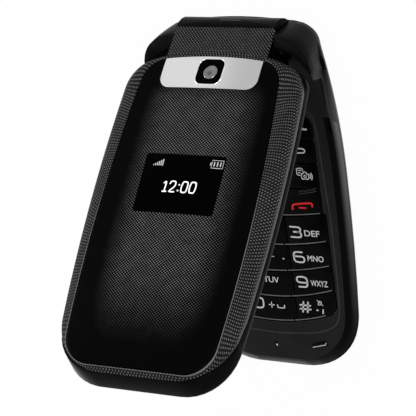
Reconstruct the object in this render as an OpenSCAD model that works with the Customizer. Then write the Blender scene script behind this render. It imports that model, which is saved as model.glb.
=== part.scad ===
// Folding mobile phone: a keypad base and a display lid that turn on a barrel hinge.
// Frame: the base lies flat on its back, +X right, +Y towards the hinge, +Z up.
// Origin: the middle of the base's footprint. Lid pieces are drawn closed, then swung open.

/* [Overall size] */
// Width across the belly of both halves
body_w = 50.8; // [50.4:0.1:51.6]
// Length of the base
body_l = 98; // [97.6:0.1:98.6]
// Height of the closed phone
body_h = 17.8; // [17.7:0.05:18.4]
// Height of the base up to its key face
base_h = 9.2; // [9.1:0.05:9.4]
// Slit between the closed halves
lid_gap = 0.6; // [0.5:0.05:0.8]

/* [Hinge] */
// How far the lid stands open
lid_open = 45; // [20:1:150]
// Largest opening angle of the lid
open_max = 160; // [140:1:162]
// Radius of the hinge barrel
barrel_r = 6; // [5.9:0.05:6.1]
// Width of the lid's barrel
barrel_w = 27.6; // [27:0.1:28.2]
// Radius of the steel hinge shaft
shaft_r = 1.5; // [1.4:0.05:1.6]

/* [Keys] */
// Slit round every key
key_gap = 0.3; // [0.25:0.01:0.35]
// Height of the key tops above the face
key_rise = 0.1; // [0.05:0.01:0.15]

/* [Inside] */
// Thickness of the battery
battery_t = 4.2; // [3.9:0.05:4.2]
// Space between the battery and the sides of the base
battery_side = 8.4; // [8.4:0.1:9]
// Thickness of the battery cover
cover_t = 1; // [0.9:0.05:1]
// Radius of the headset plug
plug_r = 1.25; // [1.2:0.01:1.3]

/* [Clearances] */
// Radial clearance of a turning fit
run_fit = 0.05; // [0.03:0.01:0.08]
// Clearance between parts that swing past each other
swing_gap = 0.3; // [0.25:0.01:0.32]
// Clearance round a piece that is laid into a pocket
seat_gap = 0.1; // [0.08:0.01:0.12]

/* [Hidden] */
half_w = body_w / 2;
half_l = body_l / 2;
slice = 0.01;
past = 1;
// Lid: outline, split line and floors
lid_low = base_h + lid_gap;
lid_t = body_h - lid_low;
hinge_y = half_l - barrel_r;
hinge_z = lid_low + 0.2;
lid_side_r = 430;
lid_corner_r = 13;
lid_end_r = 49;
lid_end_y = hinge_y - 4.3;
lid_end_corner = 4;
// Height share, side inset, free end inset and hinge end inset of each layer of the lid
lid_layers = [
    [0, 0.5, 0.5, 0.3], [0.05, 0.12, 0.12, 0.1], [0.125, 0, 0, 0], [0.35, 0, 0.8, 0],
    [0.6, 0.1, 1.7, 0.2], [0.69, 0.5, 2.1, 0.45], [0.775, 1.6, 2.6, 0.9], [0.82, 2.7, 3, 1.2]
];
crown_layers = [[0.85, 4.1, 3.6, 1.6], [0.925, 10, 9, 6], [0.985, 17, 17, 12]];
// Top layers of the lid on a straight foot, for the pieces that lie in its crown
crown_stack = concat([[0.7, 4.1, 3.6, 1.6]], crown_layers);
split_z = lid_low + 0.35 * lid_t;
split_end_z = lid_low + 0.76 * lid_t;
split_rise_y = -half_l + 19;
lip_angle = 82;
lip_y = hinge_y + barrel_r * cos(lip_angle);
lip_t = 1.1;
neck_y = hinge_y - 7.1;
neck_z = lid_low + 0.85 * lid_t;
face_in = 0.35;
face_floor = lid_low + face_in;
lid_floor = face_floor + 1.05;
shell_floor = body_h - 2.9;
panel_floor = shell_floor + 0.8;
lid_wall = 2.2;
// Where the neck's top line touches the barrel
neck_dist = norm([neck_y - hinge_y, neck_z - hinge_z]);
neck_angle = atan2(neck_z - hinge_z, neck_y - hinge_y);
touch_angle = neck_angle - acos(barrel_r / neck_dist);
// Front panel of the lid
panel_half = half_w - 4.1;
panel_mid = -12;
panel_side_r = 410;
panel_low = 3.7 - half_l;
panel_high = hinge_y - 7.4;
panel_top_r = 100;
window_w = 0.437 * body_w;
window_low = hinge_y - 49.6;
window_high = hinge_y - 34.3;
plate_w = body_w - 23.6;
plate_low = hinge_y - 16.5;
camera_y = hinge_y - 11.9;
camera_half = 3.6;
camera_rise = body_h - panel_floor - 0.45;
lens_r = 1.85;
// Inside of the lid
view_w = body_w - 12.2;
view_low = 11 - half_l;
view_high = hinge_y - 25.5;
view_t = 0.8;
display_t = 1.85;
board_t = 0.6;
lid_board_z = lid_floor + display_t + seat_gap;
lid_board_end = camera_y - 4.6;
lid_screw_x = half_w - 6.8;
lid_screw_low = 7.4 - half_l;
lid_screw_high = hinge_y - 15.4;
screw_r = 0.7;
head_r = 1.3;
head_t = 0.55;
boss_r = 1.9;
cap_r = 1.5;
ear_half = 6;
ear_low = 4.5 - half_l;
ear_d = 5;
motor_r = 1.8;
motor_l = 7.2;
horn_z = hinge_z + barrel_r;
// Base: outline and layers (height, side inset, free end inset, hinge end inset, corner radius)
base_side_r = 600;
base_back_r = 170;
shoulder_bow = 280;
base_end_r = 125;
base_mid = 8;
shoulder_r = 8;
face_corner_r = 15;
base_layers = [
    [0, 4.6, 2.2, 5.3, 18], [0.6, 3.6, 0.8, 4.3, 18], [1.5, 2.9, 0.2, 3.3, 18], [2.7, 2.1, 0, 2.3, 18],
    [5, 0.9, 0.4, 0.9, 18], [6.8, 0.2, 1.3, 1, 17], [base_h, 2.9, 4.1, 1.2, face_corner_r]
];
// Height, side inset and hinge end inset of each layer of the shoulders
shoulder_layers = [
    [2.7, 3.3, 2.4], [5, 2.1, 1], [7, 1.7, 0.9], [10, 1.3, 1.05], [13, 0.8, 1.4], [horn_z, 0.4, 2]
];
seam_z = 7;
seam_side = 2.2;
rim_z = 12;
rim_side = 1.1;
seam_back = 2.4;
shoulder_x = barrel_w / 2 + swing_gap;
scoop_r = barrel_r + swing_gap;
horn_front = hinge_y - 9;
// Round hollow in front of each shoulder
bowl_x = shoulder_x - 1.6;
bowl_y = hinge_y - 11.2;
bowl_top_r = 12;
bowl_low_r = 7;
corner_x = half_w - 5.1;
corner_y = hinge_y - 13.15;
corner_lean = 18;
corner_rise = 1.5;
notch_tilt = touch_angle - open_max + 90;
// Inside of the base
plate_t = 1;
shield_half = half_w - 11.4;
battery_w = body_w - 2 * battery_side;
bay_low = 18 - half_l;
bay_high = half_l - 26.8;
bay_roof = cover_t + seat_gap + battery_t + seat_gap;
board_z = bay_roof + 0.6;
main_board_t = 0.8;
board_w = body_w - 13.6;
board_low = 6 - half_l;
board_high = hinge_y - 9;
dome_t = 0.25;
dome_rise = 0.15;
stem_r = 1.2;
stem_low = board_z + main_board_t + dome_t + dome_rise + 0.35;
key_low = stem_low + 0.45;
key_top = base_h + key_rise;
cover_w = body_w - 13;
cover_high = bay_high + 3.9;
base_screw_spots = [[half_w - 7.8, bay_high + 2.2], [half_w - 9, bay_low - 5]];
jack_y = hinge_y - 14.5;
jack_z = 4;
jack_r = 1.8;
jack_in = 14.4 - half_w;
jack_out = 3.2;
port_y = bay_low + 9;
port_z = 4.2;
port_w = 7.4;
port_h = 2.6;
port_d = 4.2;
flap_w = 9;
flap_h = 3.8;
flap_t = 0.8;
flap_lean = 1.6;
port_in = 2.1;
volume_in = 1.2;
volume_y = bay_high - 11.2;
volume_w = 14;
volume_h = 2.6;
speaker_x = -4.9;
speaker_y = hinge_y - 12.6;
speaker_r = 5;
speaker_low = 1.8;
speaker_high = 4.4;
mic_y = 8.3 - half_l;
mic_r = 2;
bumper_x = half_w - 12.55;
bumper_y = 9.1 - half_l;
bumper_w = 4.3;
bumper_h = 1.2;
strap_d = 5;
strap_y = hinge_y - 6;
strap_z = hinge_z - 2.8;
// Keypad: curved rows, number columns and the upper keys
column_x = 0.2915 * half_w;
field_half = half_w - 6.3;
upper_half = half_w - 7.1;
number_top = -0.0837 * half_l;
row_pitch = 0.151 * half_l;
first_pitch = 1.12 * row_pitch;
last_pitch = 0.946 * row_pitch;
nav_y = 0.253 * half_l;
nav_w = 0.441 * body_w;
nav_h = 0.84 * nav_w;
ok_w = 0.44 * nav_w;
clear_half = 0.248 * half_w;
clear_top = nav_y - nav_h / 2 - key_gap;
upper_in = 0.323 * half_w;
upper_rows = [number_top, 0.0816 * half_l, 0.2245 * half_l, 0.351 * half_l, 0.4878 * half_l];
side_spot = (column_x + field_half) / 2;
hinge_can_r = 3;
can_low = 0.8;
shaft_low = can_low + 5;
socket_r = 2;
socket_in = shoulder_x + 3.2;
pin_r = 2.2;
pin_hole_r = 1.6;
pin_low = 9.5;
flex_r = 1.25;
flex_x = 4.6;
flex_w = 4;
flex_t = 0.3;
flex_z = hinge_z + flex_r - 0.02;

// ---- shared shapes ----

// Rounds the corners of a flat shape
module rounded(r) {
    offset(r = r) offset(delta = -r) children();
}

// Long strip whose two sides are arcs, widest at y = mid
module belly(half, mid, r) {
    intersection() {
        translate([half - r, mid]) circle(r, $fn = 360);
        translate([r - half, mid]) circle(r, $fn = 360);
    }
}

// Rectangle from corner to corner
module span(low, high) {
    translate(low) square(high - low);
}

// Box from corner to corner
module block(low, high) {
    translate(low) cube(high - low);
}

// Flat shape drawn in (y, z) and carried across the phone from x = -half to half
module across(half) {
    rotate([90, 0, 90]) linear_extrude(2 * half, center = true) children();
}

// Round bar on the hinge axis
module on_hinge(low, high, r) {
    translate([low, hinge_y, hinge_z]) rotate([0, 90, 0]) cylinder(h = high - low, r = r, $fn = 64);
}

// Upright bar
module post(x, y, low, high, r) {
    translate([x, y, low]) cylinder(h = high - low, r = r, $fn = 40);
}

// Both halves of a mirrored pair
module pair() {
    children();
    mirror([1, 0, 0]) children();
}

// Swings the closed lid open
module swung() {
    translate([0, hinge_y, hinge_z]) rotate([-lid_open, 0, 0]) translate([0, -hinge_y, -hinge_z])
        children();
}

// ---- lid, drawn closed ----

// Outline of the lid
module lid_plan(side = 0, free = 0, back = 0) {
    intersection() {
        rounded(max(lid_corner_r - side, 1), $fn = 40) intersection() {
            belly(half_w - side, 0, lid_side_r);
            span([-half_w, free - half_l], [half_w, half_l]);
        }
        rounded(lid_end_corner, $fn = 28) intersection() {
            belly(half_w - side, 0, lid_side_r);
            translate([0, lid_end_y - back - lid_end_r]) circle(lid_end_r, $fn = 120);
        }
    }
}

// Solid from the hull of a list of layers
module lid_stack(layers) {
    hull() for (l = layers) translate([0, 0, lid_low + l[0] * lid_t]) linear_extrude(slice)
        lid_plan(l[1], l[2], l[3]);
}

// Barrel and the neck that joins it to the lid
module knuckle() {
    on_hinge(-barrel_w / 2, barrel_w / 2, barrel_r);
    across(barrel_w / 2) polygon([
        [neck_y - 3, lid_low], [neck_y - 3, neck_z], [neck_y, neck_z],
        [hinge_y + barrel_r * cos(touch_angle), hinge_z + barrel_r * sin(touch_angle)],
        [hinge_y, hinge_z], [hinge_y, lid_low]
    ]);
}

// Everything above the lid's split line
module shell_zone() {
    top = body_h + past;
    across(half_w + past) polygon([
        [-half_l - past, top], [-half_l - past, split_end_z], [-half_l, split_end_z],
        [split_rise_y, split_z], [neck_y, split_z], [lip_y, horn_z - lip_t], [lip_y, top]
    ]);
}

// Hollow inside the lid
module lid_hollow() {
    translate([0, 0, lid_floor]) linear_extrude(shell_floor - lid_floor)
        lid_plan(lid_wall, lid_wall + 1.6, lid_wall + 0.4);
}

// Outline of the front panel
module panel_plan(inset = 0) {
    intersection() {
        rounded(7, $fn = 36) intersection() {
            belly(panel_half - inset, panel_mid, panel_side_r);
            span([-half_w, panel_low + inset], [half_w, half_l]);
        }
        rounded(5, $fn = 36) intersection() {
            belly(panel_half - inset, panel_mid, panel_side_r);
            translate([0, panel_high - inset - panel_top_r]) circle(panel_top_r, $fn = 180);
        }
    }
}

// Outline of the outer window
module window_plan(inset = 0) {
    rounded(1, $fn = 24) span([inset - window_w / 2, window_low + inset],
        [window_w / 2 - inset, window_high - inset]);
}

// Outline of the camera plate
module plate_plan(inset = 0) {
    intersection() {
        panel_plan(inset);
        rounded(3, $fn = 32) span([inset - plate_w / 2, plate_low + inset], [plate_w / 2 - inset, half_l]);
    }
}

// Outline of the camera's window
module camera_plan(inset = 0) {
    translate([0, camera_y]) rounded(1.6, $fn = 32) square(2 * (camera_half - inset), center = true);
}

// Places its children at the four screws of the lid
module at_lid_screws() {
    pair() {
        translate([lid_screw_x, lid_screw_low, 0]) children();
        translate([lid_screw_x, lid_screw_high, 0]) children();
    }
}

module lid_outer_shell() {
    color([0.06, 0.06, 0.07]) swung() difference() {
        intersection() {
            union() {
                lid_stack(concat(lid_layers, crown_layers));
                knuckle();
            }
            shell_zone();
        }
        difference() {
            lid_hollow();
            at_lid_screws() post(0, 0, 0, body_h, boss_r);
        }
        at_lid_screws() post(0, 0, 0, shell_floor - 0.4, screw_r);
        translate([0, 0, panel_floor]) linear_extrude(body_h) panel_plan();
        translate([0, 0, shell_floor - past]) linear_extrude(past * 3) window_plan(-1);
        translate([0, 0, shell_floor - past]) linear_extrude(past * 3) camera_plan(0.5);
    }
}

module lid_inner_housing() {
    color([0.03, 0.03, 0.035]) swung() difference() {
        union() {
            lid_stack(lid_layers);
            knuckle();
        }
        shell_zone();
        lid_hollow();
        // sunk inner face and the window's seat and opening
        translate([0, 0, lid_low - past]) linear_extrude(face_in + past) lid_plan(1.4, 1.6, 5.5);
        translate([0, 0, face_floor - past]) linear_extrude(view_t + past) view_plan();
        translate([0, 0, lid_floor - past]) linear_extrude(2 * past) view_plan(1.6);
        // earpiece slots
        for (i = [-1:1]) translate([i * 3, ear_low + ear_d / 2, lid_floor - past])
            cube([1.8, 0.8, 3 * past], center = true);
        at_lid_screws() {
            post(0, 0, 0, body_h, screw_r + seat_gap);
            post(0, 0, 0, face_floor + 0.3 + head_t, cap_r);
            post(0, 0, lid_floor - slice, body_h, boss_r + seat_gap);
        }
        // hinge bores and the way for the ribbon cable
        on_hinge(can_low, half_w, hinge_can_r);
        on_hinge(-half_w, -flex_x + 0.4, pin_r + run_fit);
        block([-flex_x - flex_w - 0.2, neck_y - 3, lid_floor], [-flex_x + 0.2, hinge_y, lid_floor + 0.7]);
    }
}

module lid_front_panel() {
    color([0.08, 0.08, 0.085]) swung() difference() {
        intersection() {
            lid_stack(crown_stack);
            translate([0, 0, panel_floor]) linear_extrude(body_h) panel_plan(seat_gap);
        }
        translate([0, 0, panel_floor - past]) linear_extrude(body_h) window_plan(-seat_gap);
        translate([0, 0, panel_floor - past]) linear_extrude(body_h) plate_plan(-seat_gap);
    }
}

module outer_window() {
    color([0.02, 0.02, 0.03, 0.9]) swung() intersection() {
        lid_stack(crown_stack);
        translate([0, 0, panel_floor]) linear_extrude(body_h) window_plan();
    }
}

module outer_display() {
    color([0.25, 0.3, 0.33]) swung() translate([0, 0, lid_board_z + board_t])
        linear_extrude(panel_floor - lid_board_z - board_t) window_plan(-0.8);
}

module camera_plate() {
    color([0.55, 0.56, 0.58]) swung() difference() {
        intersection() {
            lid_stack(crown_stack);
            translate([0, 0, panel_floor]) linear_extrude(body_h) plate_plan(seat_gap);
        }
        translate([0, 0, panel_floor - past]) linear_extrude(body_h) camera_plan(-0.05);
    }
}

module camera_window() {
    color([0.02, 0.02, 0.02]) swung() difference() {
        translate([0, 0, panel_floor]) linear_extrude(camera_rise) camera_plan();
        translate([0, 0, panel_floor + camera_rise - 0.3]) linear_extrude(1) camera_plan(0.45);
        post(0, camera_y, 0, body_h, lens_r + 0.05);
    }
}

module camera_module() {
    color([0.12, 0.12, 0.13]) swung() {
        block([-camera_half, camera_y - camera_half, lid_floor], [camera_half, camera_y + camera_half, shell_floor - 0.6]);
        post(0, camera_y, shell_floor - 0.7, panel_floor, 2.8);
        post(0, camera_y, panel_floor - slice, panel_floor + camera_rise - 0.5, lens_r);
    }
}

// Outline of the inner window
module view_plan(inset = 0) {
    rounded(2, $fn = 24) span([inset - view_w / 2, view_low + inset], [view_w / 2 - inset, view_high - inset]);
}

module inner_window() {
    color([0.02, 0.02, 0.03, 0.9]) swung() translate([0, 0, face_floor])
        linear_extrude(view_t) view_plan(seat_gap);
}

module inner_display() {
    color([0.35, 0.37, 0.4]) swung() translate([0, 0, lid_floor])
        linear_extrude(display_t) view_plan(1);
}

module earpiece() {
    color([0.2, 0.2, 0.2]) swung() block([-ear_half, ear_low, lid_floor],
        [ear_half, ear_low + ear_d, lid_floor + 2.2]);
}

module lid_board() {
    color([0.1, 0.35, 0.2]) swung() difference() {
        translate([0, 0, lid_board_z]) linear_extrude(board_t)
            span([-lid_screw_x - 1.4, view_low + 2], [lid_screw_x + 1.4, lid_board_end]);
        at_lid_screws() post(0, 0, 0, body_h, boss_r + 0.2);
    }
}

module vibration_motor() {
    color([0.6, 0.6, 0.62]) swung() translate([-flex_x - flex_w - 0.5 - motor_l, camera_y - 0.2, lid_floor + motor_r])
        rotate([0, 90, 0]) cylinder(h = motor_l, r = motor_r, $fn = 32);
}

module lid_screws() {
    color([0.5, 0.5, 0.5]) swung() at_lid_screws() {
        post(0, 0, face_floor + 0.3, face_floor + 0.3 + head_t, head_r);
        post(0, 0, face_floor + 0.3, shell_floor - 0.6, screw_r - 0.02);
    }
}

module lid_bumpers() {
    color([0.05, 0.05, 0.05]) swung() at_lid_screws()
        post(0, 0, lid_low, face_floor + 0.3, cap_r - 0.05);
}

module lid_magnet() {
    color([0.5, 0.5, 0.52]) swung() block([-half_w + 3.6, view_low + 9, lid_floor],
        [-half_w + 5.9, view_low + 15, lid_floor + 1.6]);
}

// ---- hinge ----

module hinge_can() {
    color([0.5, 0.5, 0.5]) swung() difference() {
        on_hinge(can_low, barrel_w / 2, hinge_can_r);
        on_hinge(shaft_low - 0.3, half_w, shaft_r + run_fit);
    }
}

module hinge_shaft() {
    color([0.7, 0.7, 0.7]) {
        on_hinge(shaft_low, shoulder_x + 1, shaft_r);
        on_hinge(shoulder_x, socket_in, socket_r);
    }
}

module hinge_pin() {
    color([0.6, 0.6, 0.62]) difference() {
        on_hinge(-socket_in, -pin_low, pin_r);
        on_hinge(-socket_in - past, -pin_low + past, pin_hole_r);
    }
}

module flex_cable() {
    color([0.75, 0.5, 0.2]) swung() {
        on_hinge(-socket_in + 0.6, -flex_x + 0.2, flex_r);
        block([-flex_x - flex_w, lid_board_end - 5, flex_z], [-flex_x, hinge_y, flex_z + flex_t]);
        block([-flex_x - flex_w, lid_board_end - 5, flex_z], [-flex_x, lid_board_end - 2, lid_board_z]);
    }
}

// ---- base ----

// Strip of the base: shallow arcs towards the free end, rounder ones towards the hinge
module base_belly(half, bow) {
    intersection() {
        belly(half, base_mid, base_side_r);
        span([-half_w, -body_l], [half_w, base_mid]);
    }
    intersection() {
        belly(half, base_mid, bow);
        span([-half_w, base_mid - past], [half_w, body_l]);
    }
}

// Outline of the base
module base_plan(side = 0, free = 0, back = 0, corner = 20, bow = base_back_r) {
    intersection() {
        rounded(corner, $fn = 48) intersection() {
            base_belly(half_w - side, bow);
            span([-half_w, free - half_l], [half_w, body_l]);
        }
        rounded(max(shoulder_r - side, 2), $fn = 40) intersection() {
            base_belly(half_w - side, bow);
            translate([0, half_l - back - base_end_r]) circle(base_end_r, $fn = 240);
        }
    }
}

// Side view of a shoulder with the rising line in front of it
module shoulder_side() {
    polygon([
        [horn_front - 15, 2.5], [horn_front - 15, base_h - 0.6], [horn_front - 11, base_h - 0.2],
        [horn_front - 7.9, base_h + 0.9], [horn_front - 4.3, base_h + 2.9], [horn_front - 1.5, base_h + 5.6],
        [horn_front + 0.7, horn_z - 0.35], [horn_front + 3, horn_z], [hinge_y, horn_z], [hinge_y, 2.5]
    ]);
    intersection() {
        translate([hinge_y, hinge_z]) circle(barrel_r, $fn = 96);
        span([hinge_y, hinge_z], [half_l, horn_z]);
    }
    span([hinge_y - past, 2.5], [half_l + past, hinge_z]);
}

// Round hollow in front of the right shoulder
module bowl() {
    translate([bowl_x, bowl_y, 0]) rotate_extrude($fn = 72) polygon(concat(
        [[0, base_h]],
        [for (i = [0:8]) let (t = i / 8) [
            bowl_low_r + (bowl_top_r - bowl_low_r) * t, base_h + (horn_z - base_h) * pow(t, 1.5)
        ]],
        [[bowl_top_r, horn_z + 2 * past], [0, horn_z + 2 * past]]
    ));
}

// Room for the lid's corner as it swings up past the shoulder
module corner_way() {
    translate([corner_x, corner_y + corner_rise * tan(corner_lean), base_h + corner_rise])
        rotate([-corner_lean, 0, 0]) cylinder(h = body_h, r = lid_end_corner + swing_gap + 0.3, $fn = 64);
}

// Everything that the lid's barrel and neck sweep through
module barrel_way() {
    on_hinge(-shoulder_x, shoulder_x, scoop_r);
    across(shoulder_x) {
        translate([hinge_y, hinge_z]) rotate(notch_tilt) span([0, -scoop_r], [20, 20]);
        span([0, base_h], [hinge_y, body_h + past]);
    }
}

// Whole base with its shoulders
module base_body() {
    hull() for (l = base_layers) translate([0, 0, l[0]]) linear_extrude(slice)
        base_plan(l[1], l[2], l[3], l[4]);
    difference() {
        intersection() {
            hull() for (l = shoulder_layers) translate([0, 0, l[0]]) linear_extrude(slice)
                base_plan(l[1], half_l, l[2], shoulder_r, shoulder_bow);
            across(half_w + past) shoulder_side();
        }
        translate([0, 0, base_h]) linear_extrude(body_h) offset(delta = swing_gap) lid_plan();
        pair() bowl();
        pair() corner_way();
    }
}

// Everything that belongs to the front half of the base
module front_zone() {
    translate([0, 0, seam_z]) linear_extrude(body_h)
        base_plan(seam_side, -past, seam_back, 1, shoulder_bow);
    translate([0, 0, rim_z]) linear_extrude(body_h)
        base_plan(rim_side, -past, seam_back, 1, shoulder_bow);
    across(half_w + past) polygon([
        [-half_l - past, seam_z], [horn_front - 12.8, seam_z], [horn_front - 7.9, base_h + 0.7],
        [horn_front - 4.3, base_h + 2.6], [horn_front - 2.5, base_h + 4.2], [horn_front + 0.7, horn_z + past],
        [-half_l - past, horn_z + past]
    ]);
}

// Strap hole through the right shoulder
module strap_hole() {
    translate([half_w - strap_d, strap_y, strap_z]) rotate([12, 0, 0]) rotate([0, 90, 0]) hull()
        for (side = [-1, 1]) translate([0, side, 0]) cylinder(h = strap_d, r = 0.85, $fn = 24);
}

// Places its children at the four screws of the base
module at_base_screws() {
    pair() for (spot = base_screw_spots) translate(spot) children();
}

// Outline of the main board
module board_plan(inset = 0) {
    intersection() {
        base_plan(4.5 + inset, 5 + inset, 5, 14);
        span([inset - board_w / 2, board_low + inset], [board_w / 2 - inset, board_high - inset]);
    }
}

module base_front_housing() {
    color([0.03, 0.03, 0.035]) difference() {
        intersection() {
            base_body();
            front_zone();
        }
        barrel_way();
        strap_hole();
        // room for the keys, the domes and the microphone
        translate([0, 0, seam_z - past]) linear_extrude(body_h) offset(delta = -0.6)
            offset(delta = key_gap + 0.6) all_keys();
        translate([0, 0, seam_z - past]) linear_extrude(past + key_low - seam_z) dome_plan(-0.3);
        post(0, mic_y, seam_z - past, base_h - plate_t, mic_r + seat_gap);
        post(0, mic_y, 0, body_h, 0.45);
        pair() translate([0, 0, base_h - 0.4]) linear_extrude(1) bumper_plan();
        at_base_screws() post(0, 0, 0, base_h - 0.9, screw_r);
        on_hinge(shoulder_x - past, socket_in + 0.2, socket_r);
        on_hinge(-socket_in - 0.2, -shoulder_x + past, pin_r);
    }
}

module base_rear_housing() {
    color([0.1, 0.1, 0.11]) difference() {
        base_body();
        front_zone();
        barrel_way();
        strap_hole();
        // cover channel, battery bay and board seat
        block([-cover_w / 2 - 0.2, -half_l - past, -past], [cover_w / 2 + 0.2, cover_high + 0.2, cover_t + seat_gap]);
        block([-battery_w / 2 - 0.2, bay_low, 0], [battery_w / 2 + 0.2, bay_high, bay_roof]);
        translate([0, 0, board_z]) linear_extrude(seam_z) board_plan(-0.1);
        // pockets
        block([-6.2, bay_high - past, 1.9], [6.2, bay_high + 2.4, 5]);
        shield_room(0.15);
        post(speaker_x, speaker_y, speaker_low - seat_gap, speaker_high + seat_gap, speaker_r + seat_gap);
        for (x = [-2:2]) for (y = [-1:1]) post(speaker_x + x * 1.6, speaker_y + y * 1.6, -past, 2, 0.4);
        translate([0, 0, 1.5]) linear_extrude(3.9) antenna_plan(-0.1);
        at_base_screws() {
            post(0, 0, -past, seam_z + past, screw_r + seat_gap);
            post(0, 0, -past, 3, head_r + 0.2);
        }
        on_hinge(shoulder_x - past, socket_in + 0.2, socket_r + seat_gap);
        on_hinge(-socket_in - 0.2, -shoulder_x + past, pin_r + seat_gap);
        // headset jack, data port and its flap, volume key
        translate([-half_w - past, jack_y, jack_z]) rotate([0, 90, 0])
            cylinder(h = half_w + past + jack_in + 0.2, r = jack_r, $fn = 48);
        block([-half_w - past, port_y - port_w / 2 - 0.1, port_z - port_h / 2 - 0.1],
            [-half_w + port_in + 1 + port_d, port_y + port_w / 2 + 0.1, port_z + port_h / 2 + 0.1]);
        flap(swing_gap, 3);
        translate([-half_w - past, volume_y, port_z]) rotate([90, 0, 90])
            linear_extrude(past + volume_in + 2.6) offset(delta = swing_gap) volume_plan();
    }
}

module battery_cover() {
    color([0.12, 0.12, 0.13]) intersection() {
        base_body();
        block([-cover_w / 2, -half_l - past, 0], [cover_w / 2, cover_high, cover_t]);
    }
}

module battery() {
    color([0.25, 0.26, 0.28]) block([-battery_w / 2, bay_low + 0.1, cover_t + seat_gap * 1.5],
        [battery_w / 2, bay_high - 0.1, bay_roof]);
}

module main_board() {
    color([0.1, 0.35, 0.2]) difference() {
        translate([0, 0, board_z]) linear_extrude(main_board_t) board_plan();
        at_base_screws() post(0, 0, 0, body_h, screw_r + 0.2);
    }
}

// The two screening cans, grown by a gap for their room
module shield_room(grow) {
    block([0.4 - grow, bay_high + 3.6 - grow, board_z - 2 - grow], [half_w - 8.4 + grow, board_high - 0.6 + grow, board_z]);
    block([-shield_half - grow, bay_low - 5 - grow, board_z - 2 - grow],
        [shield_half + grow, bay_low - 1 + grow, board_z]);
}

module shield_cans() {
    color([0.65, 0.66, 0.68]) shield_room(0);
}

// Outline of the dome sheet
module dome_plan(inset = 0) {
    span([inset - field_half + 1.1, inset + row_y(4) + 0.4], [field_half - 1.1 - inset, upper_rows[4] - 0.3 - inset]);
}

module dome_sheet() {
    color([0.8, 0.8, 0.75]) translate([0, 0, board_z + main_board_t]) {
        linear_extrude(dome_t) dome_plan();
        for (p = key_spots) translate([p[0], p[1], dome_t - slice]) cylinder(h = dome_rise, r = 1.8, $fn = 24);
    }
}

// Side view of the volume key
module volume_plan() {
    rounded(1.1, $fn = 32) square([volume_w, volume_h], center = true);
}

module volume_key() {
    color([0.1, 0.1, 0.11]) translate([volume_in - half_w, volume_y, port_z]) rotate([90, 0, 90])
        linear_extrude(2) volume_plan();
}

module usb_port() {
    color([0.7, 0.7, 0.72]) difference() {
        translate([port_in - half_w, port_y, port_z])
            block([1 + flap_t, -port_w / 2, -port_h / 2], [1 + port_d, port_w / 2, port_h / 2]);
        translate([port_in - half_w, port_y, port_z])
            block([0, 0.3 - port_w / 2, 0.3 - port_h / 2], [port_d + 0.6, port_w / 2 - 0.3, port_h / 2 - 0.3]);
    }
    color([0.1, 0.1, 0.1]) translate([port_in - half_w, port_y, port_z])
        block([2.2, -2.4, -0.3], [port_d + 0.8, 2.4, 0.3]);
}

// Flap of the data port, leaning with the wall, grown by a gap and carried outwards for its room
module flap(grow = 0, out = 0) {
    high = flap_h / 2 + grow;
    lean = flap_lean / 2 * high / (flap_h / 2);
    translate([port_in - half_w, port_y + flap_w / 2 + grow, port_z]) rotate([90, 0, 0])
        linear_extrude(flap_w + 2 * grow) polygon([
            [-lean - out, high], [lean - out, -high], [lean + flap_t + grow, -high], [flap_t + grow - lean, high]
        ]);
}

module port_cover() {
    color([0.08, 0.08, 0.08]) flap();
}

module headset_jack() {
    color([0.1, 0.1, 0.1]) translate([jack_in, jack_y, jack_z]) rotate([0, -90, 0]) difference() {
        cylinder(h = half_w + jack_in - jack_out, r = jack_r, $fn = 48);
        translate([0, 0, 1]) cylinder(h = half_w, r = plug_r + run_fit, $fn = 48);
    }
}

// Outline of the antenna carrier at the free end
module antenna_plan(inset = 0) {
    intersection() {
        base_plan(4 + inset, 3 + inset, 5, 16);
        span([-half_w, -half_l], [half_w, bay_low - 7 - inset]);
    }
}

module antenna() {
    color([0.75, 0.7, 0.6]) translate([0, 0, 1.6]) linear_extrude(3.8) antenna_plan();
}

module loudspeaker() {
    color([0.3, 0.3, 0.3]) post(speaker_x, speaker_y, speaker_low, speaker_high, speaker_r);
}

module microphone() {
    color([0.6, 0.6, 0.6]) post(0, mic_y, board_z + main_board_t, base_h - plate_t, mic_r);
}

module battery_contacts() {
    color([0.85, 0.7, 0.3]) {
        block([-6, bay_high + 0.4, 2], [6, bay_high + 2.3, 4.9]);
        for (i = [-1:1]) block([i * 4 - 0.8, bay_high - 0.05, 2.6], [i * 4 + 0.8, bay_high + 0.6, 4.4]);
    }
}

module base_screws() {
    color([0.5, 0.5, 0.5]) at_base_screws() {
        post(0, 0, 3 - head_t, 3, head_r);
        post(0, 0, 3 - head_t, base_h - 1.1, screw_r - 0.02);
    }
}

// Outline of a rubber bumper
module bumper_plan() {
    translate([bumper_x, bumper_y]) rotate(16) rounded(0.5, $fn = 24) square([bumper_w, bumper_h], center = true);
}

module base_bumpers() {
    color([0.06, 0.06, 0.06]) pair() translate([0, 0, base_h - 0.4]) linear_extrude(0.7) bumper_plan();
}

// ---- keys ----

// Height of a row line in the middle of the phone, and how much it curves
function row_y(row) = row == 0 ? number_top
    : row < 4 ? number_top - first_pitch - (row - 1) * row_pitch
    : number_top - first_pitch - 2 * row_pitch - last_pitch;
function row_bend(row) = 0.0042 + 0.0016 * row;
function row_line(y, bend) = [for (x = [-24:3:24]) [x, y + bend * x * x]];
function backwards(list) = [for (i = [len(list) - 1:-1:0]) list[i]];
// Middle of each key
key_spots = concat(
    [for (row = [0:3]) for (col = [-1:1]) [col * side_spot, (row_y(row) + row_y(row + 1)) / 2 + 1.1 * abs(col)]],
    [for (row = [0:3]) for (side = [-1, 1]) [side * side_spot, (upper_rows[row] + upper_rows[row + 1]) / 2]],
    [[0, nav_y], [0, nav_y + nav_h * 0.38], [0, nav_y - nav_h * 0.38], [nav_w * 0.38, nav_y], [-nav_w * 0.38, nav_y]],
    [[0, (number_top + clear_top) / 2]]
);

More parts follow.
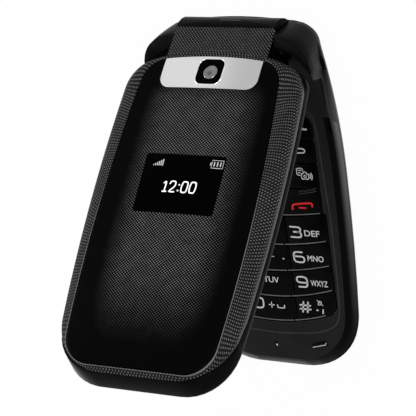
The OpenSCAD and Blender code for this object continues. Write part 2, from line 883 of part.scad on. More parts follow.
// Band between two curved row lines
module row_band(low, low_bend, high, high_bend) {
    polygon(concat(row_line(low + key_gap / 2, low_bend), backwards(row_line(high - key_gap / 2, high_bend))));
}

// Outline of a number key: row 0 to 3 from the top, col -1, 0 or 1
module number_plan(row, col) {
    left = col == -1 ? -field_half : (col - 0.5) * 2 * column_x + key_gap / 2;
    right = col == 1 ? field_half : (col + 0.5) * 2 * column_x - key_gap / 2;
    rounded(0.4, $fn = 16) intersection() {
        rounded(3.4, $fn = 32) intersection() {
            span([-field_half, row_y(4) - 1], [field_half, number_top + 6]);
            row_band(row_y(4), row_bend(4), number_top + 8, 0);
        }
        row_band(row_y(row + 1), row_bend(row + 1), row_y(row), row_bend(row));
        span([left, row_y(4) - 1], [right, number_top + 4]);
    }
}

// Ellipse of a given width and height
module ellipse(w, h) {
    polygon([for (a = [0:6:354]) [w / 2 * cos(a), h / 2 * sin(a)]]);
}

// Outline of an upper key on the right: row 0 is beside the clear key, row 3 the soft key
module upper_plan(row) {
    inner = row == 0 ? clear_half + key_gap : upper_in;
    rounded(0.6, $fn = 16) difference() {
        intersection() {
            rounded(3.4, $fn = 32) span([-upper_half, number_top - 6], [upper_half, upper_rows[4]]);
            row_band(upper_rows[row], row == 0 ? row_bend(0) : 0, upper_rows[row + 1], 0);
            span([inner, number_top - 2], [upper_half, upper_rows[4]]);
        }
        translate([0, nav_y]) ellipse(nav_w + 4 * key_gap, nav_h + 4 * key_gap);
    }
}

// Outline of the clear key
module clear_plan() {
    rounded(0.8, $fn = 16) intersection() {
        span([-clear_half, number_top - 1], [clear_half, clear_top]);
        row_band(number_top, row_bend(0), 20, 0);
    }
}

// Every key outline, for the opening in the housing
module all_keys() {
    for (row = [0:3]) for (col = [-1:1]) number_plan(row, col);
    pair() for (row = [0:3]) upper_plan(row);
    clear_plan();
    translate([0, nav_y]) ellipse(nav_w, nav_h);
}

// A key cap over its stem
module key(x, y, top = key_top) {
    translate([0, 0, key_low]) linear_extrude(top - key_low) children();
    post(x, y, stem_low, key_low + slice, stem_r);
}

module number_key(row, col) {
    spot = key_spots[row * 3 + col + 1];
    color([0.04, 0.04, 0.045]) key(spot[0], spot[1]) number_plan(row, col);
}

module upper_key(row, side) {
    spot = key_spots[12 + row * 2 + (side + 1) / 2];
    color([0.04, 0.04, 0.045]) key(spot[0], spot[1]) scale([side, 1]) upper_plan(row);
}

module nav_ring() {
    color([0.05, 0.05, 0.055]) {
        translate([0, nav_y, key_low]) linear_extrude(key_top + 0.1 - key_low) difference() {
            ellipse(nav_w, nav_h);
            ellipse(ok_w + 2 * key_gap, (ok_w + 2 * key_gap) * 0.84);
        }
        for (i = [21:24]) post(key_spots[i][0], key_spots[i][1], stem_low, key_low + slice, stem_r);
    }
}

module ok_key() {
    color([0.05, 0.05, 0.055]) key(0, nav_y) translate([0, nav_y]) ellipse(ok_w, ok_w * 0.84);
}

module clear_key() {
    color([0.04, 0.04, 0.045]) key(0, (number_top + clear_top) / 2) clear_plan();
}

module soft_key_left() { upper_key(3, -1); }
module soft_key_right() { upper_key(3, 1); }
module message_key() { upper_key(2, -1); }
module back_key() { upper_key(2, 1); }
module speaker_key() { upper_key(1, -1); }
module camera_key() { upper_key(1, 1); }
module send_key() { upper_key(0, -1); }
module end_key() { upper_key(0, 1); }
module key_1() { number_key(0, -1); }
module key_2() { number_key(0, 0); }
module key_3() { number_key(0, 1); }
module key_4() { number_key(1, -1); }
module key_5() { number_key(1, 0); }
module key_6() { number_key(1, 1); }
module key_7() { number_key(2, -1); }
module key_8() { number_key(2, 0); }
module key_9() { number_key(2, 1); }
module key_star() { number_key(3, -1); }
module key_0() { number_key(3, 0); }
module key_hash() { number_key(3, 1); }

lid_outer_shell();
lid_inner_housing();
lid_front_panel();
outer_window();
outer_display();
camera_plate();
camera_window();
camera_module();
inner_window();
inner_display();
earpiece();
lid_board();
vibration_motor();
lid_screws();
lid_bumpers();
lid_magnet();
hinge_can();
hinge_shaft();
hinge_pin();
flex_cable();
base_front_housing();
base_rear_housing();
battery_cover();
battery();
main_board();
shield_cans();
dome_sheet();
volume_key();
usb_port();
port_cover();
headset_jack();
antenna();
loudspeaker();
microphone();
battery_contacts();
base_screws();
base_bumpers();
soft_key_left();
soft_key_right();
nav_ring();
ok_key();
message_key();
speaker_key();
send_key();
back_key();
camera_key();
end_key();
clear_key();
key_1();
key_2();
key_3();
key_4();
key_5();
key_6();
key_7();
key_8();
key_9();
key_star();
key_0();
key_hash();
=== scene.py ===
# Folding mobile phone, half open. Lengths are in millimetres until a mesh is made.
import math

import bmesh
import bpy
import numpy as np
from mathutils import Euler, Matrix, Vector


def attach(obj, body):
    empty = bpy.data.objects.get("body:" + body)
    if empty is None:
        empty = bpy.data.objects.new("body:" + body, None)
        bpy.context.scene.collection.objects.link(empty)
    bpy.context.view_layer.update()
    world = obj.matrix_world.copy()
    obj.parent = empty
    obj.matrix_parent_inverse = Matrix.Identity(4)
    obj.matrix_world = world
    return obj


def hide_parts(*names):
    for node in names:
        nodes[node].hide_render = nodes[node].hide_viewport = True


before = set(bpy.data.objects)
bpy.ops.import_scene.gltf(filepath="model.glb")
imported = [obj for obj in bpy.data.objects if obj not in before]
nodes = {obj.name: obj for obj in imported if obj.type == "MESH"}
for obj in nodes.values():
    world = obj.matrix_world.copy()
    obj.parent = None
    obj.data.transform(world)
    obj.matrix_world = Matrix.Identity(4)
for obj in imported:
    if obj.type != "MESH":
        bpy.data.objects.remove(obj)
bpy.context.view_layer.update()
print("frame loaded:", len(nodes), "nodes")

mm = 0.001
phone = {
    "halfWidth": 25.4, "halfLength": 49.0,
    "hingeY": 43.0, "hingeZ": 10.0, "barrel": 6.0, "lidOpen": 45.0,
    "lidLow": 9.8, "lidThick": 8.0,
    "keyTop": 9.3, "faceZ": 9.2, "bumperTop": 9.5,
}
cameraLook = {
    "place": (230.971, 176.700, 409.133), "turn": (-25.3815, 28.3121, -8.8408),
    "lens": 166.37, "sensor": 36, "clip": (0.01, 20),
}


def addObject(name, data):
    item = bpy.data.objects.new(name, data)
    bpy.context.scene.collection.objects.link(item)
    return item


def makeCamera(look):
    data = bpy.data.cameras.new("camera")
    data.lens = look["lens"]
    data.sensor_width = look["sensor"]
    data.clip_start, data.clip_end = look["clip"]
    camera = addObject("camera", data)
    camera.location = Vector(look["place"]) * mm
    camera.rotation_euler = Euler([math.radians(turn) for turn in look["turn"]], "XYZ")
    bpy.context.scene.camera = camera


makeCamera(cameraLook)
print("camera placed")


# A grey level, or a triple of red, green and blue, as a colour
def colour(tone):
    return (*tone, 1) if isinstance(tone, tuple) else (tone, tone, tone, 1)


# Shader node whose sockets get a constant or are linked to an output
def addNode(tree, kind, sockets=None, **settings):
    node = tree.nodes.new("ShaderNode" + kind)
    for key, value in settings.items():
        setattr(node, key, value)
    for key, value in (sockets or {}).items():
        if isinstance(value, bpy.types.NodeSocket):
            tree.links.new(value, node.inputs[key])
        else:
            node.inputs[key].default_value = value
    return node


def addMath(tree, operation, *values):
    return addNode(tree, "Math", dict(enumerate(values)), operation=operation).outputs[0]


def addNoise(tree, place, scale, detail, rough=0.5):
    sockets = {"Vector": place, "Scale": scale, "Detail": detail, "Roughness": rough}
    return addNode(tree, "TexNoise", sockets).outputs


# Straight map of one span of values to another
def addRange(tree, value, to, since=(0, 1)):
    sockets = {"Value": value, "From Min": since[0], "From Max": since[1], "To Min": to[0], "To Max": to[1]}
    return addNode(tree, "MapRange", sockets).outputs["Result"]


# Colour ramp from a dark to a light tone between two positions
def addRamp(tree, value, dark, light, low=0, high=1):
    node = addNode(tree, "ValToRGB", {"Fac": value})
    stops = node.color_ramp.elements
    stops[0].position = low
    stops[0].color = colour(dark)
    stops[1].position = high
    stops[1].color = colour(light)
    return node.outputs["Color"]


def addBump(tree, height, strength, depth):
    sockets = {"Height": height, "Strength": strength, "Distance": depth * mm}
    return addNode(tree, "Bump", sockets).outputs["Normal"]


# Node tree of a material or world, emptied
def emptyTree(owner):
    owner.use_nodes = True
    owner.node_tree.nodes.clear()
    return owner.node_tree


def addShader(tree, sockets):
    shader = addNode(tree, "BsdfPrincipled", sockets)
    addNode(tree, "OutputMaterial", {"Surface": shader.outputs["BSDF"]})


# Value times smooth steps from 0 to 1 between two places on an axis; "a" drops the place's sign
def faded(tree, place, fades, value=1.0, scale=1.0):
    split = addNode(tree, "SeparateXYZ", {"Vector": place})
    for axis, low, high in fades:
        part = split.outputs[axis[-1]]
        if axis[0] == "a":
            part = addMath(tree, "ABSOLUTE", part)
        sockets = {"Value": part, "From Min": low * scale, "From Max": high * scale}
        step = addNode(tree, "MapRange", sockets, interpolation_type="SMOOTHSTEP")
        value = addMath(tree, "MULTIPLY", step.outputs["Result"], value)
    return value


# Plastic, metal or rubber: two tones by soft noise, a fine grain for bump and gloss, and a third
# tone, painted light, where the listed fades are full: a painted highlight where that tone is lighter,
# painted shade where it is darker
def plainFinish(tree, look):
    dark, light, rough, bump, specular, more = look
    place = addNode(tree, "TexCoord").outputs["Object"]
    sockets = {"Vector": place, "Scale": more.get("stretch", (1, 1, 1))}
    stretched = addNode(tree, "Mapping", sockets).outputs["Vector"]
    cloud = addNoise(tree, stretched, more.get("cloud", 120), 3)["Fac"]
    grain = addNoise(tree, stretched, more.get("grain", 2600), 2, 0.6)["Fac"]
    span = (0.3, 0.7)
    tone = addRamp(tree, cloud, dark, light, *span)
    # Painted light: the fades mask where a highlight or shade is painted into the base colour
    if "glow" in more:
        share = faded(tree, place, more["glow"], scale=mm)
        sockets = {0: share, 6: tone, 7: colour(more["glowTone"])}
        tone = addNode(tree, "Mix", sockets, data_type="RGBA").outputs[2]
    addShader(tree, {
        "Base Color": tone, "Roughness": addRange(tree, grain, rough, span),
        "Normal": addBump(tree, grain, bump, 0.02), "Metallic": more.get("metal", 0),
        "Specular IOR Level": specular, "Coat Weight": more.get("coat", 0), "Coat Roughness": 0.05,
    })


# Raised dots on a UV map in millimetres: two sets of waves turned either way and multiplied. The dots'
# lighter tone is a painted highlight on each dot. "fade" keeps them to a soft window of the surface, and so
# also paints their sheen falling off towards the window's edges.
def wovenFinish(tree, look):
    place = addNode(tree, "UVMap", uv_map="surface").outputs["UV"]
    wander = addNoise(tree, place, look["wanderScale"], 1)["Color"]
    sockets = {0: wander, 1: (look["wander"],) * 3, 2: place}
    shifted = addNode(tree, "VectorMath", sockets, operation="MULTIPLY_ADD").outputs[0]
    unitPitch = 0.31416  # pitch of a wave texture whose scale is 1
    waves = []
    for turn in (look["turn"], -look["turn"]):
        spin = addNode(tree, "Mapping", {"Vector": shifted, "Rotation": (0, 0, math.radians(turn))})
        sockets = {"Vector": spin.outputs["Vector"], "Scale": unitPitch / look["pitch"],
                   "Distortion": 0, "Detail": 0}
        waves.append(addNode(tree, "TexWave", sockets).outputs["Fac"])
    height = addMath(tree, "MULTIPLY", *waves)
    height = faded(tree, place, look.get("fade", ()), height)
    vary = addRange(tree, addNoise(tree, place, 0.35, 2)["Fac"], (0.7, 1.3))
    dots = addMath(tree, "MULTIPLY", height, vary)
    # The dots' lighter tone is a painted highlight on each dot
    addShader(tree, {
        "Base Color": addRamp(tree, dots, look["dark"], look["light"], *look["ramp"]),
        "Roughness": addRange(tree, height, look["rough"]),
        "Normal": addBump(tree, height, look["bump"], look["depth"]),
        "Specular IOR Level": look["specular"],
    })


# Lit marks on a screen, printed marks and small painted highlights: even tone with a slight mottle
def markFinish(tree, look):
    dark, light, rough, glow = look
    place = addNode(tree, "TexCoord").outputs["Object"]
    tone = addRamp(tree, addNoise(tree, place, 3000, 2)["Fac"], dark, light)
    sockets = {"Base Color": tone, "Roughness": rough, "Specular IOR Level": 0.2}
    if glow:
        sockets.update({"Emission Color": tone, "Emission Strength": glow})
    addShader(tree, sockets)


wovenLooks = {
    "wovenShell": {
        "pitch": 0.61, "turn": 45, "wander": 0.1, "wanderScale": 0.5, "dark": 0.002,
        "light": (0.15, 0.15, 0.147), "ramp": (0.3, 0.95), "rough": (0.5, 0.32), "bump": 0.8,
        "depth": 0.08, "specular": 0.08,
    },
    # dottedPanel: its fade also paints the dots' sheen falling off towards the panel's sides and ends
    "dottedPanel": {
        "pitch": 0.58, "turn": 50, "wander": 0.05, "wanderScale": 0.4, "dark": 0.001,
        "light": (0.21, 0.21, 0.211), "ramp": (0.2, 0.95), "rough": (0.3, 0.25), "bump": 0.5,
        "depth": 0.04, "specular": 0.015,
        "fade": (("X", -20, -8), ("X", 22, 8), ("Y", -49, -18), ("Y", 33, 22)),
    },
}
# Dark and light tone, roughness, bump, specular level and what else is special
plainLooks = {
    "glossBlack": ((0.0015, 0.0015, 0.0016), (0.0025, 0.0025, 0.0026), (0.1, 0.14), 0.02, 0.02,
                   {"cloud": 60}),
    # slopeBlack: a light band painted low on the outer slopes, towards the hinge end, is a painted
    # highlight
    "slopeBlack": (0.0012, 0.002, (0.12, 0.16), 0.02, 0.02,
                   {"cloud": 60, "glow": (("Z", 8.3, 7.1), ("aX", 12, 21), ("Y", -47, 25)),
                    "glowTone": (0.12, 0.12, 0.117)}),
    # satinBlack: a lighter tone painted on the outer side walls, strongest low down and towards the hinge
    # end, is a painted highlight
    "satinBlack": ((0.0028, 0.0028, 0.0029), (0.0045, 0.0045, 0.0046), (0.3, 0.38), 0.05, 0.03,
                   {"glow": (("aX", 22.2, 25.2), ("Z", 16, 9), ("Y", -48, 25)),
                    "glowTone": (0.075, 0.075, 0.073)}),
    "faceBlack": (0.011, (0.015, 0.015, 0.0148), (0.36, 0.46), 0.12, 0.05, {}),
    "keyBlack": (0.0009, 0.0017, (0.26, 0.34), 0.08, 0.03, {}),
    # paintedHighlightGrey: light grey lines on key ridges and round the panel, painted highlights
    "paintedHighlightGrey": (0.07, 0.14, (0.25, 0.35), 0.05, 0.5, {}),
    # faceLine: a grey for lines; on the keypad ring it is a painted highlight, on the barrel a painted
    # reflection
    "faceLine": ((0.03, 0.03, 0.0295), (0.045, 0.045, 0.044), (0.3, 0.4), 0.1, 0.1, {}),
    # satinEdgeHighlight: a real smooth satin band, its lighter grey a painted highlight along the lid's
    # lower edge
    "satinEdgeHighlight": (0.016, 0.022, (0.24, 0.32), 0.08, 0.4, {}),
    # silverPlate: a darker tone painted towards its +x side is painted shade
    "silverPlate": ((0.58, 0.58, 0.585), (0.66, 0.66, 0.665), (0.3, 0.38), 0.05, 0.3,
                    {"metal": 0.1, "cloud": 40, "glow": (("X", -3, 11),), "glowTone": (0.44, 0.44, 0.445)}),
    "brightRim": (0.72, 0.85, (0.15, 0.2), 0.02, 0.5, {"metal": 0.7}),
    "windowGlass": (0.0005, 0.0008, (0.06, 0.09), 0.005, 0.006, {"cloud": 50}),
    "lensGlass": (0.10, 0.16, (0.12, 0.16), 0.01, 0.5, {"coat": 0.6, "cloud": 500}),
    "lensPupil": ((0.012, 0.012, 0.014), (0.03, 0.03, 0.034), (0.08, 0.12), 0.01, 0.6,
                  {"coat": 0.8, "cloud": 500}),
    "board": ((0.012, 0.09, 0.035), (0.02, 0.16, 0.06), (0.35, 0.5), 0.3, 0.4,
              {"cloud": 900, "stretch": (1, 0.25, 1)}),
    "steel": ((0.42, 0.42, 0.43), (0.6, 0.6, 0.61), (0.24, 0.4), 0.15, 0.5,
              {"metal": 1, "stretch": (0.15, 1, 1), "grain": 3500}),
    "gold": ((0.7, 0.48, 0.16), (0.86, 0.62, 0.24), (0.2, 0.34), 0.1, 0.5, {"metal": 1}),
    "rubber": (0.012, 0.02, (0.55, 0.7), 0.25, 0.25, {}),
    "ribbon": ((0.36, 0.15, 0.03), (0.55, 0.26, 0.06), (0.25, 0.4), 0.1, 0.5,
               {"stretch": (6, 0.3, 1), "cloud": 400}),
    "cell": ((0.05, 0.055, 0.06), (0.085, 0.09, 0.1), (0.3, 0.42), 0.08, 0.4, {"cloud": 60}),
    "domeFilm": ((0.5, 0.5, 0.46), (0.66, 0.66, 0.6), (0.2, 0.35), 0.1, 0.5, {"cloud": 200}),
    "carrier": ((0.42, 0.38, 0.28), (0.58, 0.53, 0.4), (0.35, 0.5), 0.15, 0.4, {"cloud": 150}),
    "darkScreen": ((0.012, 0.013, 0.015), (0.02, 0.022, 0.025), (0.12, 0.18), 0.01, 0.4, {"cloud": 60}),
}
# Dark and light tone, roughness and light of its own
markLooks = {
    "screenMark": (0.82, 0.95, 0.4, 0.35),
    "screenIcon": (0.42, 0.55, 0.4, 0.15),
    # legendWhite: printed legends, and also the painted highlights at the mic hole and bumpers
    "legendWhite": (0.6, 0.74, 0.5, 0),
    "legendRed": ((0.62, 0.01, 0.012), (0.8, 0.02, 0.02), 0.45, 0.1),
    "legendGreen": ((0.02, 0.4, 0.04), (0.03, 0.55, 0.06), 0.45, 0.1),
}
finish = {}
for fill, looks in ((wovenFinish, wovenLooks), (plainFinish, plainLooks), (markFinish, markLooks)):
    for name, look in looks.items():
        finish[name] = bpy.data.materials.new(name)
        fill(emptyTree(finish[name]), look)
print("materials made:", len(finish))


# The body a piece rides on, the slot of its finish, which is not used, and the nodes it stands for
def settle(piece, body, slot, *shown):
    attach(piece, body)
    if shown:
        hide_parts(*shown)
    return piece


# Points of the closed lid turned about the hinge line to where it stands:
# y' = y cos t + z sin t and z' = z cos t - y sin t, measured from the hinge
def swing(points):
    turn = math.radians(phone["lidOpen"])
    across = points[..., 1] - phone["hingeY"]
    up = points[..., 2] - phone["hingeZ"]
    out = points.copy()
    out[..., 1] = phone["hingeY"] + across * math.cos(turn) + up * math.sin(turn)
    out[..., 2] = phone["hingeZ"] - across * math.sin(turn) + up * math.cos(turn)
    return out


# One property of all of a mesh's parts, in rows of three
def readRows(parts, key, kind=float):
    rows = np.empty(len(parts) * 3, kind)
    parts.foreach_get(key, rows)
    return rows.reshape(-1, 3)


# Turns a mesh inside out if its volume comes out below nothing
def faceOutwards(mesh):
    mesh.calc_loop_triangles()
    points = readRows(mesh.vertices, "co")
    points -= points.mean(0)
    a, b, c = points[readRows(mesh.loop_triangles, "vertices", int)].transpose(1, 0, 2)
    if np.einsum("ij,ij->i", a, np.cross(b, c)).sum() < 0:
        mesh.flip_normals()


# Mesh from points in mm and faces; one UV pair per face corner if given
def addPiece(name, points, faces, look, uv=None, sharp=30):
    mesh = bpy.data.meshes.new(name)
    mesh.from_pydata((np.asarray(points, float) * mm).tolist(), [], faces)
    if uv is not None:
        layer = mesh.uv_layers.new(name="surface")
        layer.data.foreach_set("uv", np.asarray(uv, float).ravel())
    mesh.materials.append(finish[look])
    mesh.update()
    faceOutwards(mesh)
    mesh.shade_smooth()
    mesh.set_sharp_from_angle(angle=math.radians(sharp))
    return addObject(name, mesh)


# Lid piece from rows and columns of points: wrap closes it round, caps close its end rows with a
# fan to their middle. uv has one more row or column where the grid wraps.
def gridPiece(name, grid, look, slot, *shown, wrapColumns=True, wrapRows=False, caps=False, uv=None,
              sharp=50):
    grid = swing(grid)
    rows, columns = grid.shape[:2]
    cells = (rows if wrapRows else rows - 1, columns if wrapColumns else columns - 1)
    row, column = np.indices(cells).reshape(2, -1)
    nextRow, nextColumn = (row + 1) % rows, (column + 1) % columns
    quads = np.stack([row * columns + column, row * columns + nextColumn,
                      nextRow * columns + nextColumn, nextRow * columns + column], 1)
    points, faces, corners = grid.reshape(-1, 3), quads.tolist(), None
    if uv is not None:
        corners = np.stack([uv[row, column], uv[row, column + 1],
                            uv[row + 1, column + 1], uv[row + 1, column]], 1).reshape(-1, 2)
    ring = np.arange(columns)
    for edge, way in ((0, -1), (rows - 1, 1)) if caps else ():
        points = np.vstack([points, grid[edge].mean(0)])
        ends = [edge * columns + ring, edge * columns + (ring + 1) % columns]
        hub = np.full(columns, len(points) - 1)
        faces += np.stack([*ends[::way], hub], 1).tolist()
        if uv is not None:
            sides = [uv[edge, :columns], uv[edge, 1:columns + 1]]
            middle = np.tile(uv[edge, :columns].mean(0), (columns, 1))
            fan = np.stack([*sides[::way], middle], 1)
            corners = np.vstack([corners, fan.reshape(-1, 2)])
    return settle(addPiece(name, points, faces, look, corners, sharp), "lid", slot, *shown)


# Places at radii and angles round a centre
def around(centre, radius, angles):
    return centre[0] + radius * np.cos(angles), centre[1] + radius * np.sin(angles)


# Where a test that holds from low on stops holding, by halving whole arrays at once
def halve(low, high, holds, steps):
    for step in range(steps):
        middle = (low + high) / 2
        held = holds(middle)
        low, high = np.where(held, middle, low), np.where(held, high, middle)
    return (low + high) / 2


# Radius where a flat shape's signed distance reaches a level
def ringRadius(shape, centre, angles, level=0.0, reach=70.0):
    low = np.zeros(np.broadcast(angles, level).shape)
    return halve(low, low + reach, lambda r: shape(*around(centre, r, angles)) < level, steps=42)


# Length of a path up to each of its points
def lengthsAlong(path):
    return np.concatenate([[0], np.cumsum(np.linalg.norm(np.diff(path, axis=0), axis=1))])


# Angles round a centre that cut the outline into equal lengths
def evenAngles(shape, centre, count, samples=2881):
    angles = np.linspace(-np.pi, np.pi, samples)
    radius = ringRadius(shape, centre, angles)
    along = lengthsAlong(np.stack([radius * np.cos(angles), radius * np.sin(angles)], 1))
    return np.interp(np.arange(count) / count * along[-1], along, angles)


# Two edges and a rounded corner: outside both, the distance is that to the corner's circle
def cornered(one, two, radius):
    one, two = one + radius, two + radius
    outside = np.hypot(np.maximum(one, 0), np.maximum(two, 0))
    return outside + np.minimum(np.maximum(one, two), 0) - radius


# An edge that bulges: distance from a circle's middle, less its radius
def bowed(x, y, radius):
    return np.hypot(x, y) - radius


# Smooth curve through rising knots: cubics with harmonic mean slopes
def smoothThrough(knots, values, at):
    knots, values = np.asarray(knots, float), np.asarray(values, float)
    step = np.diff(knots)
    slope = np.diff(values) / step
    product, total = slope[1:] * slope[:-1], slope[1:] + slope[:-1]
    inner = np.where(product > 0, 2 * product / np.where(total == 0, 1, total), 0)
    tangent = np.concatenate([[slope[0]], inner, [slope[-1]]])
    cell = np.clip(np.searchsorted(knots, at, side="right") - 1, 0, len(step) - 1)
    t = np.clip((at - knots[cell]) / step[cell], 0, 1)
    square, cube = t * t, t * t * t
    return ((2 * cube - 3 * square + 1) * values[cell]
            + (cube - 2 * square + t) * step[cell] * tangent[cell]
            + (3 * square - 2 * cube) * values[cell + 1]
            + (cube - square) * step[cell] * tangent[cell + 1])


# Corners of a path cut twice, so that they turn in a short curve
def softPath(points, cut):
    path = np.asarray(points, float)
    for share in (cut, 0.25):
        start, end = path[:-1], path[1:]
        near, far = start + (end - start) * share, end + (start - end) * share
        between = np.stack([near, far], 1).reshape(-1, 2)[1:-1]
        path = np.concatenate([path[:1], between, path[-1:]])
    return path


# Rows of four points along a path: a flat top with round ends, and a wall each side
def strokeRows(path, width, level, lift, sink):
    step = np.diff(path, axis=0)
    step = step / np.linalg.norm(step, axis=1)[:, None]
    way = np.concatenate([step[:1], step[:-1] + step[1:], step[-1:]])
    way = way / np.linalg.norm(way, axis=1)[:, None]
    lean = np.radians([8, 35, 62])
    first = path[:1] - way[:1] * (width / 2) * np.cos(lean)[:, None]
    last = path[-1:] + way[-1:] * (width / 2) * np.cos(lean[::-1])[:, None]
    half = np.concatenate([np.sin(lean), np.ones(len(path)), np.sin(lean[::-1])]) * width / 2
    way = np.concatenate([np.repeat(way[:1], 3, 0), way, np.repeat(way[-1:], 3, 0)])
    middle = np.concatenate([first, path, last])
    across = np.stack([-way[:, 1], way[:, 0]], 1) * half[:, None]
    flat = np.stack([middle + across, middle - across, middle - across, middle + across], 1)
    height = level(flat[..., 0], flat[..., 1]) + np.array([lift, lift, -sink, -sink])
    return np.concatenate([flat, height[..., None]], 2)


# Piece from several strokes, each closed at both ends; the lid's are swung
def strokePiece(name, strokes, look, body, slot, level, lift=0.03, sink=0.03):
    points, faces, count = [], [], 0
    for path, width in strokes:
        rows = strokeRows(np.asarray(path, float), width, level, lift, sink)
        size = len(rows)
        row, column = np.indices((size - 1, 4)).reshape(2, -1)
        row = row * 4
        side = (column + 1) % 4
        quads = np.stack([row + column, row + side, row + 4 + side, row + 4 + column], 1)
        ends = np.array([[3, 2, 1, 0], np.arange(4) + size * 4 - 4])
        faces += (quads + count).tolist() + (ends + count).tolist()
        points.append(rows.reshape(-1, 3))
        count += size * 4
    points = np.concatenate(points)
    settle(addPiece(name, swing(points) if body == "lid" else points, faces, look), body, slot)


# Flat surface that marks lie on
def flatLevel(z):
    return lambda x, y: z + 0 * x


# Letters on a key, fitted into a box of the given middle and size
def letterPiece(name, text, centre, size, key, weight, lift=0.03):
    curve = bpy.data.curves.new(name, "FONT")
    curve.body = text
    curve.extrude = 0.5
    curve.offset = weight
    curve.resolution_u = 4
    written = bpy.data.objects.new(name + "Curve", curve)
    mesh = bpy.data.meshes.new_from_object(written)
    bpy.data.objects.remove(written)
    points = readRows(mesh.vertices, "co")
    low, high = points.min(0), points.max(0)
    flat = np.array(centre) + ((points - low) / (high - low) - 0.5)[:, :2] * size
    z = phone["keyTop"] + np.where(points[:, 2] > 0, lift, -lift)
    faces = [tuple(face.vertices) for face in mesh.polygons]
    bpy.data.meshes.remove(mesh)
    settle(addPiece(name, np.column_stack([flat, z]), faces, "legendWhite"), key, "key_black")


dressLook = {"doubles": 0.002, "flat": 0.6, "short": 0.001, "segments": 2, "limit": 32}


# A CAD node's shape with doubles merged, flat faces joined and edges broken
def dress(node, body, look, slot, bevel):
    mesh = nodes[node].data.copy()
    mesh.name = node + "Dressed"
    work = bmesh.new()
    work.from_mesh(mesh)
    flat = math.radians(dressLook["flat"])
    bmesh.ops.remove_doubles(work, verts=work.verts, dist=dressLook["doubles"] * mm)
    bmesh.ops.dissolve_limit(work, angle_limit=flat, verts=work.verts, edges=work.edges)
    bmesh.ops.dissolve_degenerate(work, edges=work.edges, dist=dressLook["short"] * mm)
    work.to_mesh(mesh)
    work.free()
    mesh.materials.clear()
    mesh.materials.append(finish[look])
    mesh.polygons.foreach_set("material_index", np.zeros(len(mesh.polygons), int))
    mesh.shade_smooth()
    piece = addObject(node + "Dressed", mesh)
    edge = piece.modifiers.new("brokenEdges", "BEVEL")
    edge.width = bevel * mm
    edge.segments = dressLook["segments"]
    edge.limit_method = "ANGLE"
    edge.angle_limit = math.radians(dressLook["limit"])
    edge.harden_normals = True
    return settle(piece, body, slot, node)


# The lid's outline, and how far its sides and ends are set in by share of height
lidForm = {
    "centre": (0.0, -5.0), "sideRadius": 430.0, "cornerRadius": 13.0,
    "endRadius": 49.0, "endY": 38.7, "endCorner": 4.0,
    "share": [0, 0.05, 0.125, 0.35, 0.6, 0.69, 0.775, 0.82, 0.85, 0.925, 0.985],
    "side": [0.5, 0.12, 0, 0, 0.1, 0.5, 1.6, 2.7, 4.1, 10, 17],
    "free": [0.5, 0.12, 0, 0.8, 1.7, 2.1, 2.6, 3, 3.6, 9, 17],
    "back": [0.3, 0.1, 0, 0, 0.2, 0.45, 0.9, 1.2, 1.6, 6, 12],
    "split": 12.6, "splitEnd": 15.88, "riseFrom": -30.0,
}


# Signed distance of the lid's outline with its sides and ends set in
def lidShape(x, y, side=0.0, free=0.0, back=0.0):
    reach = lidForm["sideRadius"] - phone["halfWidth"] + side
    flank = bowed(np.abs(x) + reach, y, lidForm["sideRadius"])
    tip = free - phone["halfLength"] - y
    end = bowed(x, y - (lidForm["endY"] - back - lidForm["endRadius"]), lidForm["endRadius"])
    tipCorner = np.maximum(lidForm["cornerRadius"] - side, 1)
    return np.maximum(cornered(flank, tip, tipCorner), cornered(flank, end, lidForm["endCorner"]))


# Radius of the lid at angles and shares of its height
def lidRadius(angles, share, out=0.0):
    setIn = [smoothThrough(lidForm["share"], lidForm[key], share) for key in ("side", "free", "back")]
    return ringRadius(lambda x, y: lidShape(x, y, *setIn), lidForm["centre"],
                      angles + np.zeros_like(share), out)


def lidPoints(angles, radius, share):
    x, y = around(lidForm["centre"], radius, angles)
    z = phone["lidLow"] + share * phone["lidThick"] + np.zeros_like(x)
    return np.stack([x, y, z], -1)


panelForm = {
    "half": 21.3, "mid": -12.0, "sideRadius": 410.0, "low": -45.3, "lowCorner": 7.0,
    "high": 35.6, "topRadius": 100.0, "topCorner": 5.0,
    "edgeZ": 16.6, "rise": 1.16, "sidePower": 2.4, "endPower": 7.0,
}


# Signed distance of the front panel's outline: bowed sides and top, straight free end
def panelShape(x, y):
    p = panelForm
    flank = bowed(np.abs(x) + p["sideRadius"] - p["half"], y - p["mid"], p["sideRadius"])
    top = bowed(x, y - (p["high"] - p["topRadius"]), p["topRadius"])
    low = cornered(flank, p["low"] - y, p["lowCorner"])
    return np.maximum(low, cornered(flank, top, p["topCorner"]))


# Crown of the lid: full in the middle, falling as a power of the distance to each side
def crown(x, y):
    p = panelForm
    half = p["half"] - (y - p["mid"]) ** 2 / (2 * p["sideRadius"])
    middle = (p["low"] + p["high"]) / 2
    across = np.minimum(np.abs(x) / half, 1) ** p["sidePower"]
    along = np.minimum(np.abs(y - middle) / (p["high"] - middle), 1) ** p["endPower"]
    return p["edgeZ"] + p["rise"] * (1 - across) * (1 - along)


# Points at radii and angles round a centre, lifted off the crown
def crownPoints(centre, radius, angles, lift):
    x, y = around(centre, radius, angles)
    return np.stack([x, y, crown(x, y) + lift], -1)


# Height share of the parting line: level, then rising straight to the free end
def splitShare(y):
    run = np.clip((lidForm["riseFrom"] - y) / (phone["halfLength"] + lidForm["riseFrom"]), 0, 1)
    height = lidForm["split"] + (lidForm["splitEnd"] - lidForm["split"]) * run
    return (height - phone["lidLow"]) / phone["lidThick"]


# Height share where the lid's skin meets the panel's outline
def meetShare(angles, target, low=0.6, high=0.98):
    low, high = np.full_like(angles, low), np.full_like(angles, high)
    return halve(low, high, lambda share: lidRadius(angles, share) > target, steps=24)


